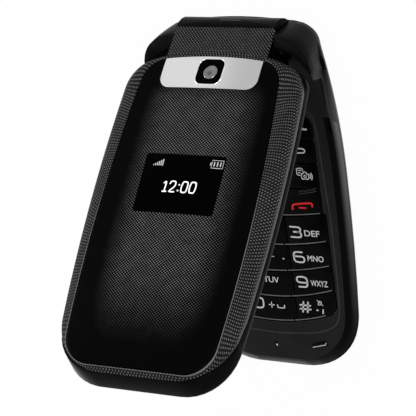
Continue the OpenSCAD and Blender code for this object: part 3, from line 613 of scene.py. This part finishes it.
# Height share where the skin crosses the parting line, by substitution
def partingShare(angles, start=0.35, steps=12):
    share = np.full_like(angles, start)
    for step in range(steps):
        share = splitShare(around(lidForm["centre"], lidRadius(angles, share), angles)[1])
    return share


# UV pair: lengths along a grid's closed rows, measured on one of them, and up its columns
def arcUv(grid, measured):
    along = lengthsAlong(np.concatenate([grid[measured], grid[measured, :1]]))
    steps = np.linalg.norm(np.diff(grid, axis=0), axis=2)
    up = np.concatenate([np.zeros((1, grid.shape[1])), np.cumsum(steps, axis=0)])
    up = np.concatenate([up, up[:, :1]], axis=1)
    return np.stack([np.broadcast_to(along, up.shape), up], -1)


shellLook = {"columns": 320, "rows": 30, "spread": 0.8, "gap": 0.1, "foot": 0.12, "lip": (0.06, 0.1),
             "groove": 0.9, "wall": 1.3, "measured": 8, "squeeze": 0.62, "edge": 0.34, "edgeLess": 1.2}


# Rows climb the skin from the parting line to the panel's outline, drop into the groove and
# return inside the wall to the first. The lowest faces are plain satin, in a lighter grey that is a painted
# highlight along the lid's lower edge.
def makeLidShell(look):
    angles = evenAngles(lidShape, lidForm["centre"], look["columns"])
    start = partingShare(angles)
    rim = ringRadius(panelShape, lidForm["centre"], angles, look["gap"])
    top = meetShare(angles, rim)
    share = start + (top - start) * np.linspace(0, 1, look["rows"])[:, None] ** look["spread"]
    radius = lidRadius(angles, share)
    skin = lidPoints(angles, radius, share)
    foot = lidPoints(angles, radius[0] - look["foot"], start) - (0, 0, look["foot"])
    lip = lidPoints(angles, rim - look["lip"][0], top) - (0, 0, look["lip"][1])
    drop = lidPoints(angles, rim - look["lip"][0], top) - (0, 0, look["groove"])
    inner = lidPoints(angles, radius[0] - look["wall"], start) - (0, 0, look["foot"])
    grid = np.concatenate([[foot], skin, [lip, drop, inner]])
    uv = arcUv(grid, look["measured"])
    uv[..., 1] = (uv[..., 1] - uv[len(skin):len(skin) + 1, :, 1]) * look["squeeze"]
    uv = np.concatenate([uv, uv[-1:] + 1])
    piece = gridPiece("lidShell", grid, "wovenShell", "grained_shell", "lid_outer_shell",
                      wrapRows=True, uv=uv, sharp=60)
    piece.data.materials.append(finish["satinEdgeHighlight"])
    rise = grid[..., 2] - grid[1, :, 2]
    smooth = rise < look["edge"] * (rise[len(skin)] - look["edgeLess"])
    piece.data.polygons.foreach_set("material_index", smooth.astype(int).ravel())


# The flap from the lid up to the barrel: places in y and z, and the angle of its lip
stripLook = {"half": 13.75, "from": (33.5, 16.35), "bend": (35.9, 16.62), "lip": 82.0, "thick": 1.0}


# Straight from the bend to where it touches the barrel, then round the barrel to the lip
def stripProfile(look):
    axis = np.array([phone["hingeY"], phone["hingeZ"]])
    bend = np.array(look["bend"])
    gap = bend - axis
    touch = math.atan2(gap[1], gap[0]) - math.acos(phone["barrel"] / np.hypot(*gap))
    top = axis + phone["barrel"] * np.array([math.cos(touch), math.sin(touch)])
    straight = bend + (top - bend) * np.linspace(0, 1, 14)[:, None]
    turns = np.linspace(touch, math.radians(look["lip"]), 5)[1:, None]
    rounded = axis + phone["barrel"] * np.concatenate([np.cos(turns), np.sin(turns)], 1)
    return np.concatenate([[look["from"]], straight, rounded])


# Profile in y and z carried across the phone, its side edges turned down
def makeStrip(look):
    line = stripProfile(look)
    thick = look["thick"]
    lip = line[-1] + np.array([(0.1, -0.04), (0.16, -0.16), (0.14, 0.1 - thick)])
    loop = np.concatenate([line, lip, line[::-1] - (0, thick)])
    edge, sinkEdge = np.array([0.2, 0.6, 0.99, 0.997, 1, 1]), np.array([0, 0, 0, 0.03, 0.12, thick])
    across = np.concatenate([-edge[::-1], edge]) * look["half"]
    sink = np.concatenate([sinkEdge[::-1], sinkEdge])
    grid = np.empty((len(loop), len(across), 3))
    grid[..., 0] = across
    grid[..., 1] = loop[:, :1]
    grid[..., 2] = loop[:, 1:] - sink * (np.arange(len(loop)) < len(line) + 2)[:, None]
    along = lengthsAlong(loop)
    uv = np.stack(np.meshgrid(across, np.append(along, along[-1] + 1), indexing="xy"), -1)
    gridPiece("knuckleStrip", grid, "wovenShell", "grained_shell", wrapColumns=False, wrapRows=True, uv=uv)


makeLidShell(shellLook)
makeStrip(stripLook)
print("lid shell and knuckle strip made")


# Plate in the crown: rings from the middle to the outline, over a rounded rim and down the wall
def makeCrownPlate(name, look, shape, skin, slot, node, rim=(15, 90, 6)):
    centre, edge = look["centre"], look["edge"]
    angles = evenAngles(shape, centre, look["columns"])
    full = ringRadius(shape, centre, angles)
    inner = ringRadius(shape, centre, angles, -edge)
    shares = (np.arange(1, look["rings"] + 1) / look["rings"])[:, None]
    lean = np.radians(np.linspace(*rim))[:, None]
    radius = np.concatenate([inner * shares, inner + (full - inner) * np.sin(lean), full[None]])
    drop = np.concatenate([0 * shares, edge * (1 - np.cos(lean)), [[edge + look["depth"]]]])
    grid = crownPoints(centre, radius, angles, look["lift"] - drop)
    uv = np.concatenate([grid[..., :2], grid[:, :1, :2]], axis=1)
    gridPiece(name, grid, skin, slot, node, caps=True, uv=uv)


# Half-round bead round an outline, from its inner side "out", with a foot sunk below it
def makeBead(name, look, shape, skin, slot):
    angles = evenAngles(shape, look["centre"], look["columns"])
    turn = np.radians(np.linspace(0, 180, look["steps"]))
    out = np.append(look["size"] * (1 + np.cos(turn)) / 2, [0, look["size"]]) + look["out"]
    lift = np.append(look["height"] * np.sin(turn), [-look["foot"]] * 2) + look["lift"]
    radius = ringRadius(shape, look["centre"], angles, out[:, None])
    grid = crownPoints(look["centre"], radius, angles, lift[:, None])
    gridPiece(name, grid, skin, slot, wrapRows=True, sharp=look["sharp"])


panelLook = {"centre": (0.0, -5.0), "columns": 320, "rings": 40, "edge": 0.3, "lift": 0.0, "depth": 0.5,
             "gap": 0.1}
panelBeadLook = {"centre": (0.0, -5.0), "columns": 320, "steps": 6, "out": 0.12, "size": 0.2,
                 "height": 0.12, "lift": -0.12, "foot": 0.5, "sharp": 50}
windowLook = {"centre": (0.0, 1.05), "columns": 200, "rings": 10, "edge": 0.06, "lift": 0.03,
              "depth": 0.3, "half": (11.1, 7.65), "corner": 0.45}
plateLook = {"centre": (0.0, 31.0), "columns": 240, "rings": 34, "edge": 0.16, "lift": 0.1,
             "depth": 0.5, "half": 13.6, "low": 26.5, "corner": 3.0}
eyeRimLook = {"centre": (0.0, 31.1), "columns": 120, "steps": 9, "out": -0.3, "size": 0.3,
              "height": 0.16, "lift": 0.06, "foot": 0.4, "sharp": 40, "half": (3.8, 3.8), "corner": 2.2}
glassLook = {"centre": (0.0, 31.1), "columns": 120, "rings": 8, "edge": 0.1, "lift": 0.12,
             "depth": 0.4, "inside": 0.25}


def panelEdge(x, y):
    return panelShape(x, y) + panelLook["gap"]


# Rounded rectangle of a look's centre, half sizes and corner
def boxShape(look):
    def shape(x, y):
        one = np.abs(x - look["centre"][0]) - look["half"][0]
        two = np.abs(y - look["centre"][1]) - look["half"][1]
        return cornered(one, two, look["corner"])
    return shape


def plateShape(x, y):
    box = cornered(np.abs(x) - plateLook["half"], plateLook["low"] - y, plateLook["corner"])
    return np.maximum(box, panelEdge(x, y))


def glassShape(x, y):
    return boxShape(eyeRimLook)(x, y) + glassLook["inside"]


makeCrownPlate("frontPanel", panelLook, panelEdge, "dottedPanel", "panel_black", "lid_front_panel")
# The panel bead is a real half-round edge; its light grey is a painted highlight
makeBead("panelBead", panelBeadLook, panelShape, "paintedHighlightGrey", "grained_shell")
makeCrownPlate("outerWindow", windowLook, boxShape(windowLook), "windowGlass", "window", "outer_window")
makeCrownPlate("cameraPlate", plateLook, plateShape, "silverPlate", "silver_plate", "camera_plate")
print("panel, window and camera plate made")

makeBead("cameraRim", eyeRimLook, boxShape(eyeRimLook), "brightRim", "silver_plate")
makeCrownPlate("cameraGlass", glassLook, glassShape, "windowGlass", "gloss_black", "camera_window")


# Profile of radius and height over the crown, turned round an upright axis
def makeLensPart(name, centre, skin, profile, columns=64):
    profile = np.array(profile)
    angles = np.linspace(0, 2 * np.pi, columns, endpoint=False)
    grid = crownPoints(centre, profile[:, :1], angles, profile[:, 1:])
    gridPiece(name, grid, skin, "gloss_black", caps=True, sharp=30)


makeLensPart("lensRing", (0.25, 30.85), "lensGlass",
             [(0.9, 0.17), (1.55, 0.17), (1.75, 0.21), (1.85, 0.16), (1.87, -0.08)])
makeLensPart("lensPupil", (0.1, 30.65), "lensPupil",
             [(0.1, 0.28), (0.3, 0.27), (0.5, 0.24), (0.65, 0.19), (0.68, 0.02)])
print("camera made")


# Patch of the barrel from x and turn, with an outer and an inner side
def makeBarrelSkin(name, x, turn, outer, inner, skin, slot):
    sides = []
    for radius in (outer, inner):
        y, z = around((phone["hingeY"], phone["hingeZ"]), radius, turn)
        sides.append(np.stack(np.broadcast_arrays(x, y, z), -1))
    loop = np.concatenate([sides[0], sides[1][::-1]])
    gridPiece(name, loop, skin, slot, wrapColumns=False, wrapRows=True)


sleeveLook = {"half": 13.72, "from": -60, "lift": 0.015, "inner": -0.2, "columns": 5, "rows": 48}
# The lens's lower edge: angle below the lip at each distance from the middle
lensBandLook = {
    "half": 12.9, "lip": 81.5, "lift": 0.03, "inner": 0.97, "columns": 61, "rows": 16,
    "x": [0, 2, 4.6, 5.2, 7.5, 10, 12, 12.9], "depth": [42, 38, 31.5, 27.5, 18.5, 11.5, 6.5, 0.6],
}


# Satin skin of the barrel beside the gloss lens, a hair below it
def makeSleeve(look, lip):
    x = np.linspace(-look["half"], look["half"], look["columns"])
    turn = np.radians(np.linspace(look["from"], lip, look["rows"]))[:, None]
    makeBarrelSkin("barrelSleeve", x, turn, phone["barrel"] + look["lift"],
                   phone["barrel"] + look["inner"], "satinBlack", "satin_black")


# Gloss lens on the barrel, between the strip's lip and a curved lower edge
def makeLensBand(look):
    x = np.linspace(-1, 1, look["columns"]) * look["half"]
    depth = np.radians(np.interp(np.abs(x), look["x"], look["depth"]))
    turn = math.radians(look["lip"]) - depth * np.linspace(0, 1, look["rows"])[:, None]
    radius = phone["barrel"] + look["lift"]
    makeBarrelSkin("barrelGloss", x, turn, radius, radius * look["inner"], "glossBlack", "gloss_black")


makeSleeve(sleeveLook, lensBandLook["lip"])
makeLensBand(lensBandLook)
dress("lid_inner_housing", "lid", "glossBlack", "gloss_black", bevel=0.1)
print("barrel and inner housing made")

faceLook = {"top": 9.0, "above": 0.6, "flat": 0.97, "steep": 0.4, "side": 20}


# Dull on the flat key face, gloss on the slopes round it, satin on the outer wall
def splitFace(piece, look, *more):
    mesh = piece.data
    for name in more:
        mesh.materials.append(finish[name])
    normal, middle = readRows(mesh.polygons, "normal"), readRows(mesh.polygons, "center")
    slope = (normal[:, 2] < look["flat"]) | (middle[:, 2] < look["top"] * mm)
    outer = (normal[:, 0] * middle[:, 0] > 0) & (np.abs(middle[:, 0]) > look["side"] * mm)
    wall = (np.abs(normal[:, 2]) < look["steep"]) & outer
    wall |= middle[:, 2] > (look["top"] + look["above"]) * mm
    mesh.polygons.foreach_set("material_index", np.where(wall, 2, slope.astype(int)))


frontHousing = dress("base_front_housing", "base", "faceBlack", "gloss_black", bevel=0.12)
splitFace(frontHousing, faceLook, "slopeBlack", "satinBlack")
dress("base_rear_housing", "base", "satinBlack", "satin_black", bevel=0.12)
dress("battery_cover", "battery_cover", "satinBlack", "satin_black", bevel=0.15)
print("base made")

# Keys with a digit or sign, in four rows of three
digits = ["1", "2", "3", "4", "5", "6", "7", "8", "9", "star", "0", "hash"]
keyNames = ["soft_key_left", "soft_key_right", "nav_ring", "ok_key", "message_key", "speaker_key",
            "send_key", "back_key", "camera_key", "end_key", "clear_key"]
keyNames += ["key_" + digit for digit in digits]
for keyName in keyNames:
    dress(keyName, keyName, "keyBlack", "key_black", bevel=0.14)
print("keys made:", len(keyNames))

# A glyph of a mark: points x,y in a cell from 0 to 1 each way, with "/" between its strokes
glyphs = {
    "1": "0.1,0.78 0.55,1 0.55,0",
    "2": "0,1 1,1 1,0.53 0,0.45 0,0 1,0",
    "3": "0,1 0.9,1 1,0.76 0.86,0.52 0.3,0.52 / 0.7,0.52 1,0.46 1,0 0,0",
    "4": "0.2,1 0,0.35 1,0.35 / 0.74,0.72 0.74,0",
    "5": "0.95,1 0.05,1 0.05,0.58 1,0.58 1,0 0,0",
    "6": "0.85,1 0,1 0,0 1,0 1,0.57 0.05,0.57",
    "7": "0,1 1,1 0.4,0",
    "8": "0.5,1 0.06,1 0.06,0.54 0.94,0.54 0.94,1 0.5,1 / 0.5,0 0,0 0,0.54 1,0.54 1,0 0.5,0",
    "9": "0.95,0.43 0,0.43 0,1 1,1 1,0 0.15,0",
    "0": "0.5,1 1,1 1,0 0,0 0,1 0.5,1",
    "star": "0.5,0.86 0.5,0.14 / 0.16,0.68 0.84,0.32 / 0.16,0.32 0.84,0.68",
    "hash": "0.36,1 0.2,0 / 0.82,1 0.66,0 / 0,0.68 1,0.68 / 0,0.3 1,0.3",
    "plus": "0.5,1 0.5,0 / 0,0.5 1,0.5",
    "space": "0,1 0,0 1,0 1,1",
    "quiet": "0.1,0 0.35,0.9 0.9,0.7 0.6,0.1 0.1,0 / 0,1 1,0",
    "bar": "0,0.5 1,0.5",
    "dot": "0.4,0.5 0.6,0.5",
    "comma": "0.6,1 0.35,0",
    "back": "0,1 0.9,1 1,0.5 0.9,0 0.1,0 / 0.28,0.35 0.1,0 0.28,-0.35",
    "camera": "0.2,0.35 0,0.35 0,1 0.42,1 0.42,0.75 / 0.12,0.8 0.3,0.8 / 0.12,0.58 0.24,0.58 / "
              "0.5,0 0.3,0 0.3,0.5 0.42,0.5 0.48,0.68 0.62,0.68 0.68,0.5 0.8,0.5 0.8,0 0.5,0 / "
              "0.89,0.12 0.94,0.3 0.89,0.48 / 0.98,0 1.05,0.3 0.98,0.6",
    "handset": "0,-0.2 0,0.4 0.1,0.75 0.9,1.15 1,1 1,0.55",
    "clockOne": "0.05,0.8 0.55,1 0.55,0 / 0.1,0 1,0",
    "clockTwo": "0,0.76 0.12,1 0.88,1 1,0.68 0.78,0.42 0,0 1,0",
    "clockZero": "0.5,1 0.86,1 1,0.7 1,0.3 0.86,0 0.14,0 0,0.3 0,0.7 0.14,1 0.5,1",
    "message": "0.5,0 0,0 0,1 1,1 1,0 0.5,0 / 0.05,0.95 0.5,0.4 0.95,0.95",
    "speaker": "0,0.5 0,0.66 0.2,0.66 0.48,1 0.48,0 0.2,0.34 0,0.34 0,0.5 / 0.65,0.32 0.74,0.5 "
               "0.65,0.68 / 0.84,0.12 1,0.5 0.84,0.88",
}
keypad = {
    "digit": (2.95, 2.85), "stroke": 0.44, "letter": 1.65, "lower": 0.1, "weight": 0.01,
    "digitX": (-17.0, -5.2, 8.6), "letterX": (-13.4, -1.2, 12.5), "y": (-8.1, -15.1, -22.1, -29.3),
}
# Letters beside a digit and their width
letters = {
    "2": ("ABC", 4.4), "3": ("DEF", 4.3), "4": ("GHI", 3.7), "5": ("JKL", 4.0), "6": ("MNO", 4.6),
    "7": ("PQRS", 5.2), "8": ("TUV", 4.5), "9": ("WXYZ", 4.9),
}
# Further strokes on single keys: glyph, low left corner, size, stroke width and corner cut
extraMarks = {
    "key_5": [("dot", (5.0, -16.4), (1, 1), 0.32, 0.2)],
    "key_0": [("plus", (-0.6, -30.3), (1.5, 1.5), 0.28, 0.2),
              ("space", (1.9, -30.2), (2.0, 0.8), 0.28, 0.1)],
    "key_hash": [("quiet", (13.7, -28.4), (1.5, 1.4), 0.2, 0.2), ("dot", (13.0, -30.4), (1, 1), 0.44, 0.2),
                 ("comma", (14.8, -30.6), (0.6, 1.0), 0.36, 0.2)],
    "end_key": [("bar", (12.0, -1.7), (1.8, 1.0), 0.42, 0.2)],
}
# Key, glyph, middle, size, stroke width and finish, which is otherwise white
iconMarks = [
    ("soft_key_left", "bar", (-15.2, 20.2), (3.0, 1), 0.5),
    ("soft_key_right", "bar", (15.2, 20.2), (3.0, 1), 0.5),
    ("message_key", "message", (-15.2, 14.2), (3.6, 2.4), 0.32),
    ("back_key", "back", (13.7, 14.4), (3.9, 1.2), 0.34),
    ("speaker_key", "speaker", (-14.6, 8.2), (4.0, 2.8), 0.32),
    ("camera_key", "camera", (14.6, 8.2), (4.1, 2.9), 0.24),
    ("send_key", "handset", (-12.9, -0.7), (5.7, 1.5), 0.5, "legendGreen"),
    ("end_key", "handset", (12.9, -0.7), (5.7, 1.5), 0.5, "legendRed"),
]
iconRing = {"key": "camera_key", "centre": (14.805, 7.475), "radius": 0.36, "width": 0.2}


# Strokes of a glyph set in a box given by its low left corner and size
def glyphStrokes(glyph, low, size, width, cut=0.2):
    paths = [softPath([point.split(",") for point in stroke.split()], cut)
             for stroke in glyphs[glyph].split("/")]
    return [(np.asarray(low) + path * np.asarray(size), width) for path in paths]


# Strokes on a key's top; its further ones go with its digit or sign
def keyMarks(key, suffix, strokes, look, lift=0.03):
    for mark in extraMarks.get(key, []) if suffix in ("Digit", "Mark") else []:
        strokes += glyphStrokes(*mark)
    strokePiece(key + suffix, strokes, look, key, "key_black", flatLevel(phone["keyTop"]), lift)


def makeNumberMarks(digit, line, column):
    key, y, size = "key_" + digit, keypad["y"][line], keypad["digit"]
    low = (keypad["digitX"][column], y - size[1] / 2)
    keyMarks(key, "Digit", glyphStrokes(digit, low, size, keypad["stroke"]), "legendWhite")
    if digit in letters:
        text, width = letters[digit]
        middle = (keypad["letterX"][column] + width / 2, y - keypad["lower"])
        letterPiece(key + "Letters", text, middle, (width, keypad["letter"]), key, keypad["weight"])


def makeIconMarks(key, glyph, middle, size, width, look="legendWhite"):
    strokes = glyphStrokes(glyph, np.array(middle) - np.array(size) / 2, size, width)
    if key == iconRing["key"]:
        turn = np.radians(np.arange(0, 361, 30))
        circle = np.stack([np.cos(turn), np.sin(turn)], 1)
        strokes.append((np.array(iconRing["centre"]) + iconRing["radius"] * circle, iconRing["width"]))
    keyMarks(key, "Mark", strokes, look)


for place, digit in enumerate(digits):
    makeNumberMarks(digit, *divmod(place, 3))
for row in iconMarks:
    makeIconMarks(*row)
letterPiece("okWord", "OK", (0, 12.4), (4.4, 2.5), "ok_key", 0.012)
letterPiece("clearWord", "CLR", (0, -2.3), (4.6, 2.1), "clear_key", 0.012)
print("key marks made")

rowForm = {
    "y": (-4.1, -12.39, -19.79, -27.19, -34.19), "bend": 0.0042, "bendStep": 0.0016, "inset": 0.38,
    "width": 0.26, "lift": 0.05, "lowest": 15.6,
    "span": ((-18.3, -6.6), (-6.0, 6.0), (6.6, 18.3)),
    "topKeys": {"send_key": (-17.6, -7.2), "clear_key": (-5.6, 5.6), "end_key": (7.2, 17.6)},
}


# Grey line on the ridge along a key's lower edge, a painted highlight: y = y of the line + bend x x + inset
def makeRidgeHighlight(key, span, line, count):
    x = np.linspace(*span, count)
    bend = rowForm["bend"] + rowForm["bendStep"] * line
    path = np.stack([x, rowForm["y"][line] + bend * x * x + rowForm["inset"]], 1)
    keyMarks(key, "Ridge", [(path, rowForm["width"])], "paintedHighlightGrey", rowForm["lift"])


for place, digit in enumerate(digits):
    line, column = divmod(place, 3)
    reach = rowForm["lowest"] if line == 3 else phone["halfWidth"]
    makeRidgeHighlight("key_" + digit, np.clip(rowForm["span"][column], -reach, reach), line + 1, count=13)
for key, span in rowForm["topKeys"].items():
    makeRidgeHighlight(key, span, 0, count=11)
print("key ridges made")

# The clock leans: x grows by the slant times the height over its middle
clock = {
    "low": -1.15, "high": 2.75, "width": 0.34, "slant": 0.04, "middle": 0.35,
    "digits": (("clockOne", -4.1, 1.1), ("clockTwo", -2.4, 1.6), ("clockZero", 0.95, 1.6),
               ("clockZero", 3.2, 1.6)),
    "colon": [([(0.12, -0.75), (0.16, -0.75)], 0.4), ([(0.18, 0.75), (0.22, 0.75)], 0.4)],
}


def screenLevel(x, y):
    return crown(x, y) + windowLook["lift"]


# Upright strokes side by side, whose tops rise from one to the next
def barStrokes(x, step, low, top, rise, width, count):
    return [([(x + step * i, low), (x + step * i, top + rise * i)], width) for i in range(count)]


def makeScreenMarks():
    numerals = list(clock["colon"])
    for glyph, x, width in clock["digits"]:
        strokes = glyphStrokes(glyph, (x, clock["low"]), (width, clock["high"]), clock["width"])
        for path, stroke in strokes:
            path[:, 0] += clock["slant"] * (path[:, 1] - clock["middle"])
            numerals.append((path, stroke))
    bars = barStrokes(x=-8.4, step=0.5, low=5.6, top=5.68, rise=0.28, width=0.28, count=6)
    cell = [([(9, 5.6), (7.5, 5.6), (7.5, 7.6), (10.5, 7.6), (10.5, 5.6), (9, 5.6)], 0.16),
            ([(7.2, 6.35), (7.2, 6.85)], 0.3)]
    cell += barStrokes(x=8.15, step=0.85, low=6.15, top=7.05, rise=0, width=0.32, count=3)
    strokePiece("clockDigits", numerals, "screenMark", "lid", "window", screenLevel, lift=0.02)
    strokePiece("signalBars", bars, "screenIcon", "lid", "window", screenLevel, lift=0.02)
    strokePiece("batteryMark", cell, "screenIcon", "lid", "window", screenLevel, lift=0.02)


makeScreenMarks()
print("screen marks made")


# A line on the barrel's gloss lens, here a painted reflection: z = sqrt(r r - y y), measured from the hinge
def barrelLevel(x, y, reach=5.9, above=0.04):
    across = np.clip(y - phone["hingeY"], -reach, reach)
    return phone["hingeZ"] + np.sqrt((phone["barrel"] + above) ** 2 - across ** 2) + 0 * x


# Raised line round the keypad, mirrored from its right half; its grey is a painted highlight on the edge of
# the keypad's shallow well
ringHalf = np.array([
    (0, -37.6), (4.4, -37.4), (11.8, -36.7), (14.8, -35.8), (17.9, -34.3), (19.3, -32.2), (19.9, -29.3),
    (20.3, -20), (20.5, -4), (19.9, 7), (19.7, 16), (19.3, 22), (18.4, 24.4), (16.4, 25.6), (0, 25.8),
])
ringPath = softPath(np.concatenate([ringHalf, ringHalf[-2::-1] * (-1, 1)]), 0.25)
# The bar on the barrel's gloss lens is a painted reflection
barPath = [(-2.3, 46.35), (0.5, 46.4), (3.3, 46.35)]
glintPath = np.array([(10.9, -40.75), (14.6, -39.7), (14.85, -39.2)])
faceLevel, bumperLevel = flatLevel(phone["faceZ"]), flatLevel(phone["bumperTop"])
# Name, path, width, finish, body, surface, height over it and depth below it
smallMarks = [
    ("barrelMark", barPath, 0.3, "faceLine", "lid", barrelLevel, 0.03, 0.05),
    ("keypadRing", ringPath, 0.34, "faceLine", "base", faceLevel, 0.04, 0.05),
    # A white dot below the mic hole: a painted highlight on its lower edge
    ("micBead", [(0.06, -41.15), (0.12, -41.35)], 0.42, "legendWhite", "base", faceLevel, 0.04, 0.05),
    ("bumperGlintRight", glintPath, 0.2, "legendWhite", "base", bumperLevel, 0.02, 0.03),
    ("bumperGlintLeft", glintPath * (-1, 1), 0.2, "legendWhite", "base", bumperLevel, 0.02, 0.03),
]
for name, path, width, look, body, *rest in smallMarks:
    strokePiece(name, [(path, width)], look, body, "gloss_black", *rest)

waveForm = {"x": (12.5, 17.4), "slope": 0.2, "swell": 0.08, "pace": 3.4, "lows": (2.6, 3.25), "width": 0.22}


# Two wavy bars across a key beside the ring: y = low + slope x + swell sin(pace x)
def makeWaves(key, side, form):
    x = np.linspace(*form["x"], 40)
    wave = form["slope"] * (x - x[0]) + form["swell"] * np.sin(form["pace"] * x)
    strokes = [(np.stack([x * side, low + wave], 1), form["width"]) for low in form["lows"]]
    keyMarks(key, "Wave", strokes, "faceLine")


makeWaves("end_key", 1, waveForm)
makeWaves("send_key", -1, waveForm)
print("small marks made")

# Finishes of the carried-over nodes
nodeFinish = {
    "steel": ["vibration_motor", "lid_screws", "lid_magnet", "hinge_can", "hinge_shaft", "hinge_pin",
              "shield_cans", "usb_port", "microphone", "base_screws"],
    "rubber": ["earpiece", "lid_bumpers", "port_cover", "headset_jack", "loudspeaker"],
    "board": ["lid_board", "main_board"], "darkScreen": ["outer_display", "inner_display"],
    "windowGlass": ["camera_module", "inner_window"], "ribbon": ["flex_cable"], "cell": ["battery"],
    "domeFilm": ["dome_sheet"], "satinBlack": ["volume_key"], "carrier": ["antenna"],
    "gold": ["battery_contacts"], "keyBlack": ["base_bumpers"],
}
for skin, carried in nodeFinish.items():
    for node in carried:
        nodes[node].data.materials.clear()
        nodes[node].data.materials.append(finish[skin])
print("carried-over nodes finished")


# 1 for rays from the camera, through glass or off gloss, and 0 for the rest
def seenRays(tree):
    rays = addNode(tree, "LightPath").outputs
    seen = addMath(tree, "MAXIMUM", rays["Is Camera Ray"], rays["Is Transmission Ray"])
    return addMath(tree, "MAXIMUM", seen, rays["Is Glossy Ray"])


# Lengths of the floor, world and lamps are in metres
floorLook = {"half": 3, "z": -0.0002, "paper": 0.9, "white": 0.97}
# Way to a lamp, its size and its power
lampLooks = {
    "topLamp": ((0.1, 0.6, 0.75), 0.16, 1.0), "leftLamp": ((-0.9, 0.3, 0.35), 0.16, 0.9),
    "rightLamp": ((0.95, 0.2, 0.3), 0.16, 0.9), "frontLamp": ((0.35, -0.3, 0.9), 0.3, 0.7),
}


# White where it is seen, but for a little plain paper that keeps the shadow
def makeFloor(look):
    mesh = bpy.data.meshes.new("floor")
    low, high, z = -look["half"], look["half"], look["z"]
    mesh.from_pydata([(low, low, z), (high, low, z), (high, high, z), (low, high, z)], [], [(0, 1, 2, 3)])
    material = bpy.data.materials.new("floorWhite")
    tree = emptyTree(material)
    paper = addNode(tree, "BsdfDiffuse", {"Color": colour(look["paper"])})
    white = addNode(tree, "Emission", {"Color": colour(1), "Strength": 1})
    share = addMath(tree, "MULTIPLY", seenRays(tree), look["white"])
    mix = addNode(tree, "MixShader", {"Fac": share, 1: paper.outputs[0], 2: white.outputs[0]})
    addNode(tree, "OutputMaterial", {"Surface": mix.outputs[0]})
    mesh.materials.append(material)
    addObject("floor", mesh)


# Soft light from all sides that is seen as white
def makeWorld(fill):
    world = bpy.data.worlds.new("studio")
    bpy.context.scene.world = world
    tree = emptyTree(world)
    soft = addNode(tree, "Background", {"Color": colour(1), "Strength": fill})
    white = addNode(tree, "Background", {"Color": colour(1), "Strength": 1})
    sockets = {"Fac": seenRays(tree), 1: soft.outputs[0], 2: white.outputs[0]}
    addNode(tree, "OutputWorld", {"Surface": addNode(tree, "MixShader", sockets).outputs[0]})


def makeLamps(looks, target, reach):
    for name, (way, size, power) in looks.items():
        data = bpy.data.lights.new(name, "AREA")
        data.shape = "DISK"
        data.size = size
        data.energy = power
        lamp = addObject(name, data)
        way = Vector(way).normalized()
        lamp.location = Vector(target) + reach * way
        lamp.rotation_euler = way.to_track_quat("Z", "Y").to_euler()


makeFloor(floorLook)
makeWorld(fill=0.45)
makeLamps(lampLooks, target=(0, 0.01, 0.03), reach=0.6)
bpy.context.scene.view_settings.view_transform = "Standard"
print("floor, world and lamps made")
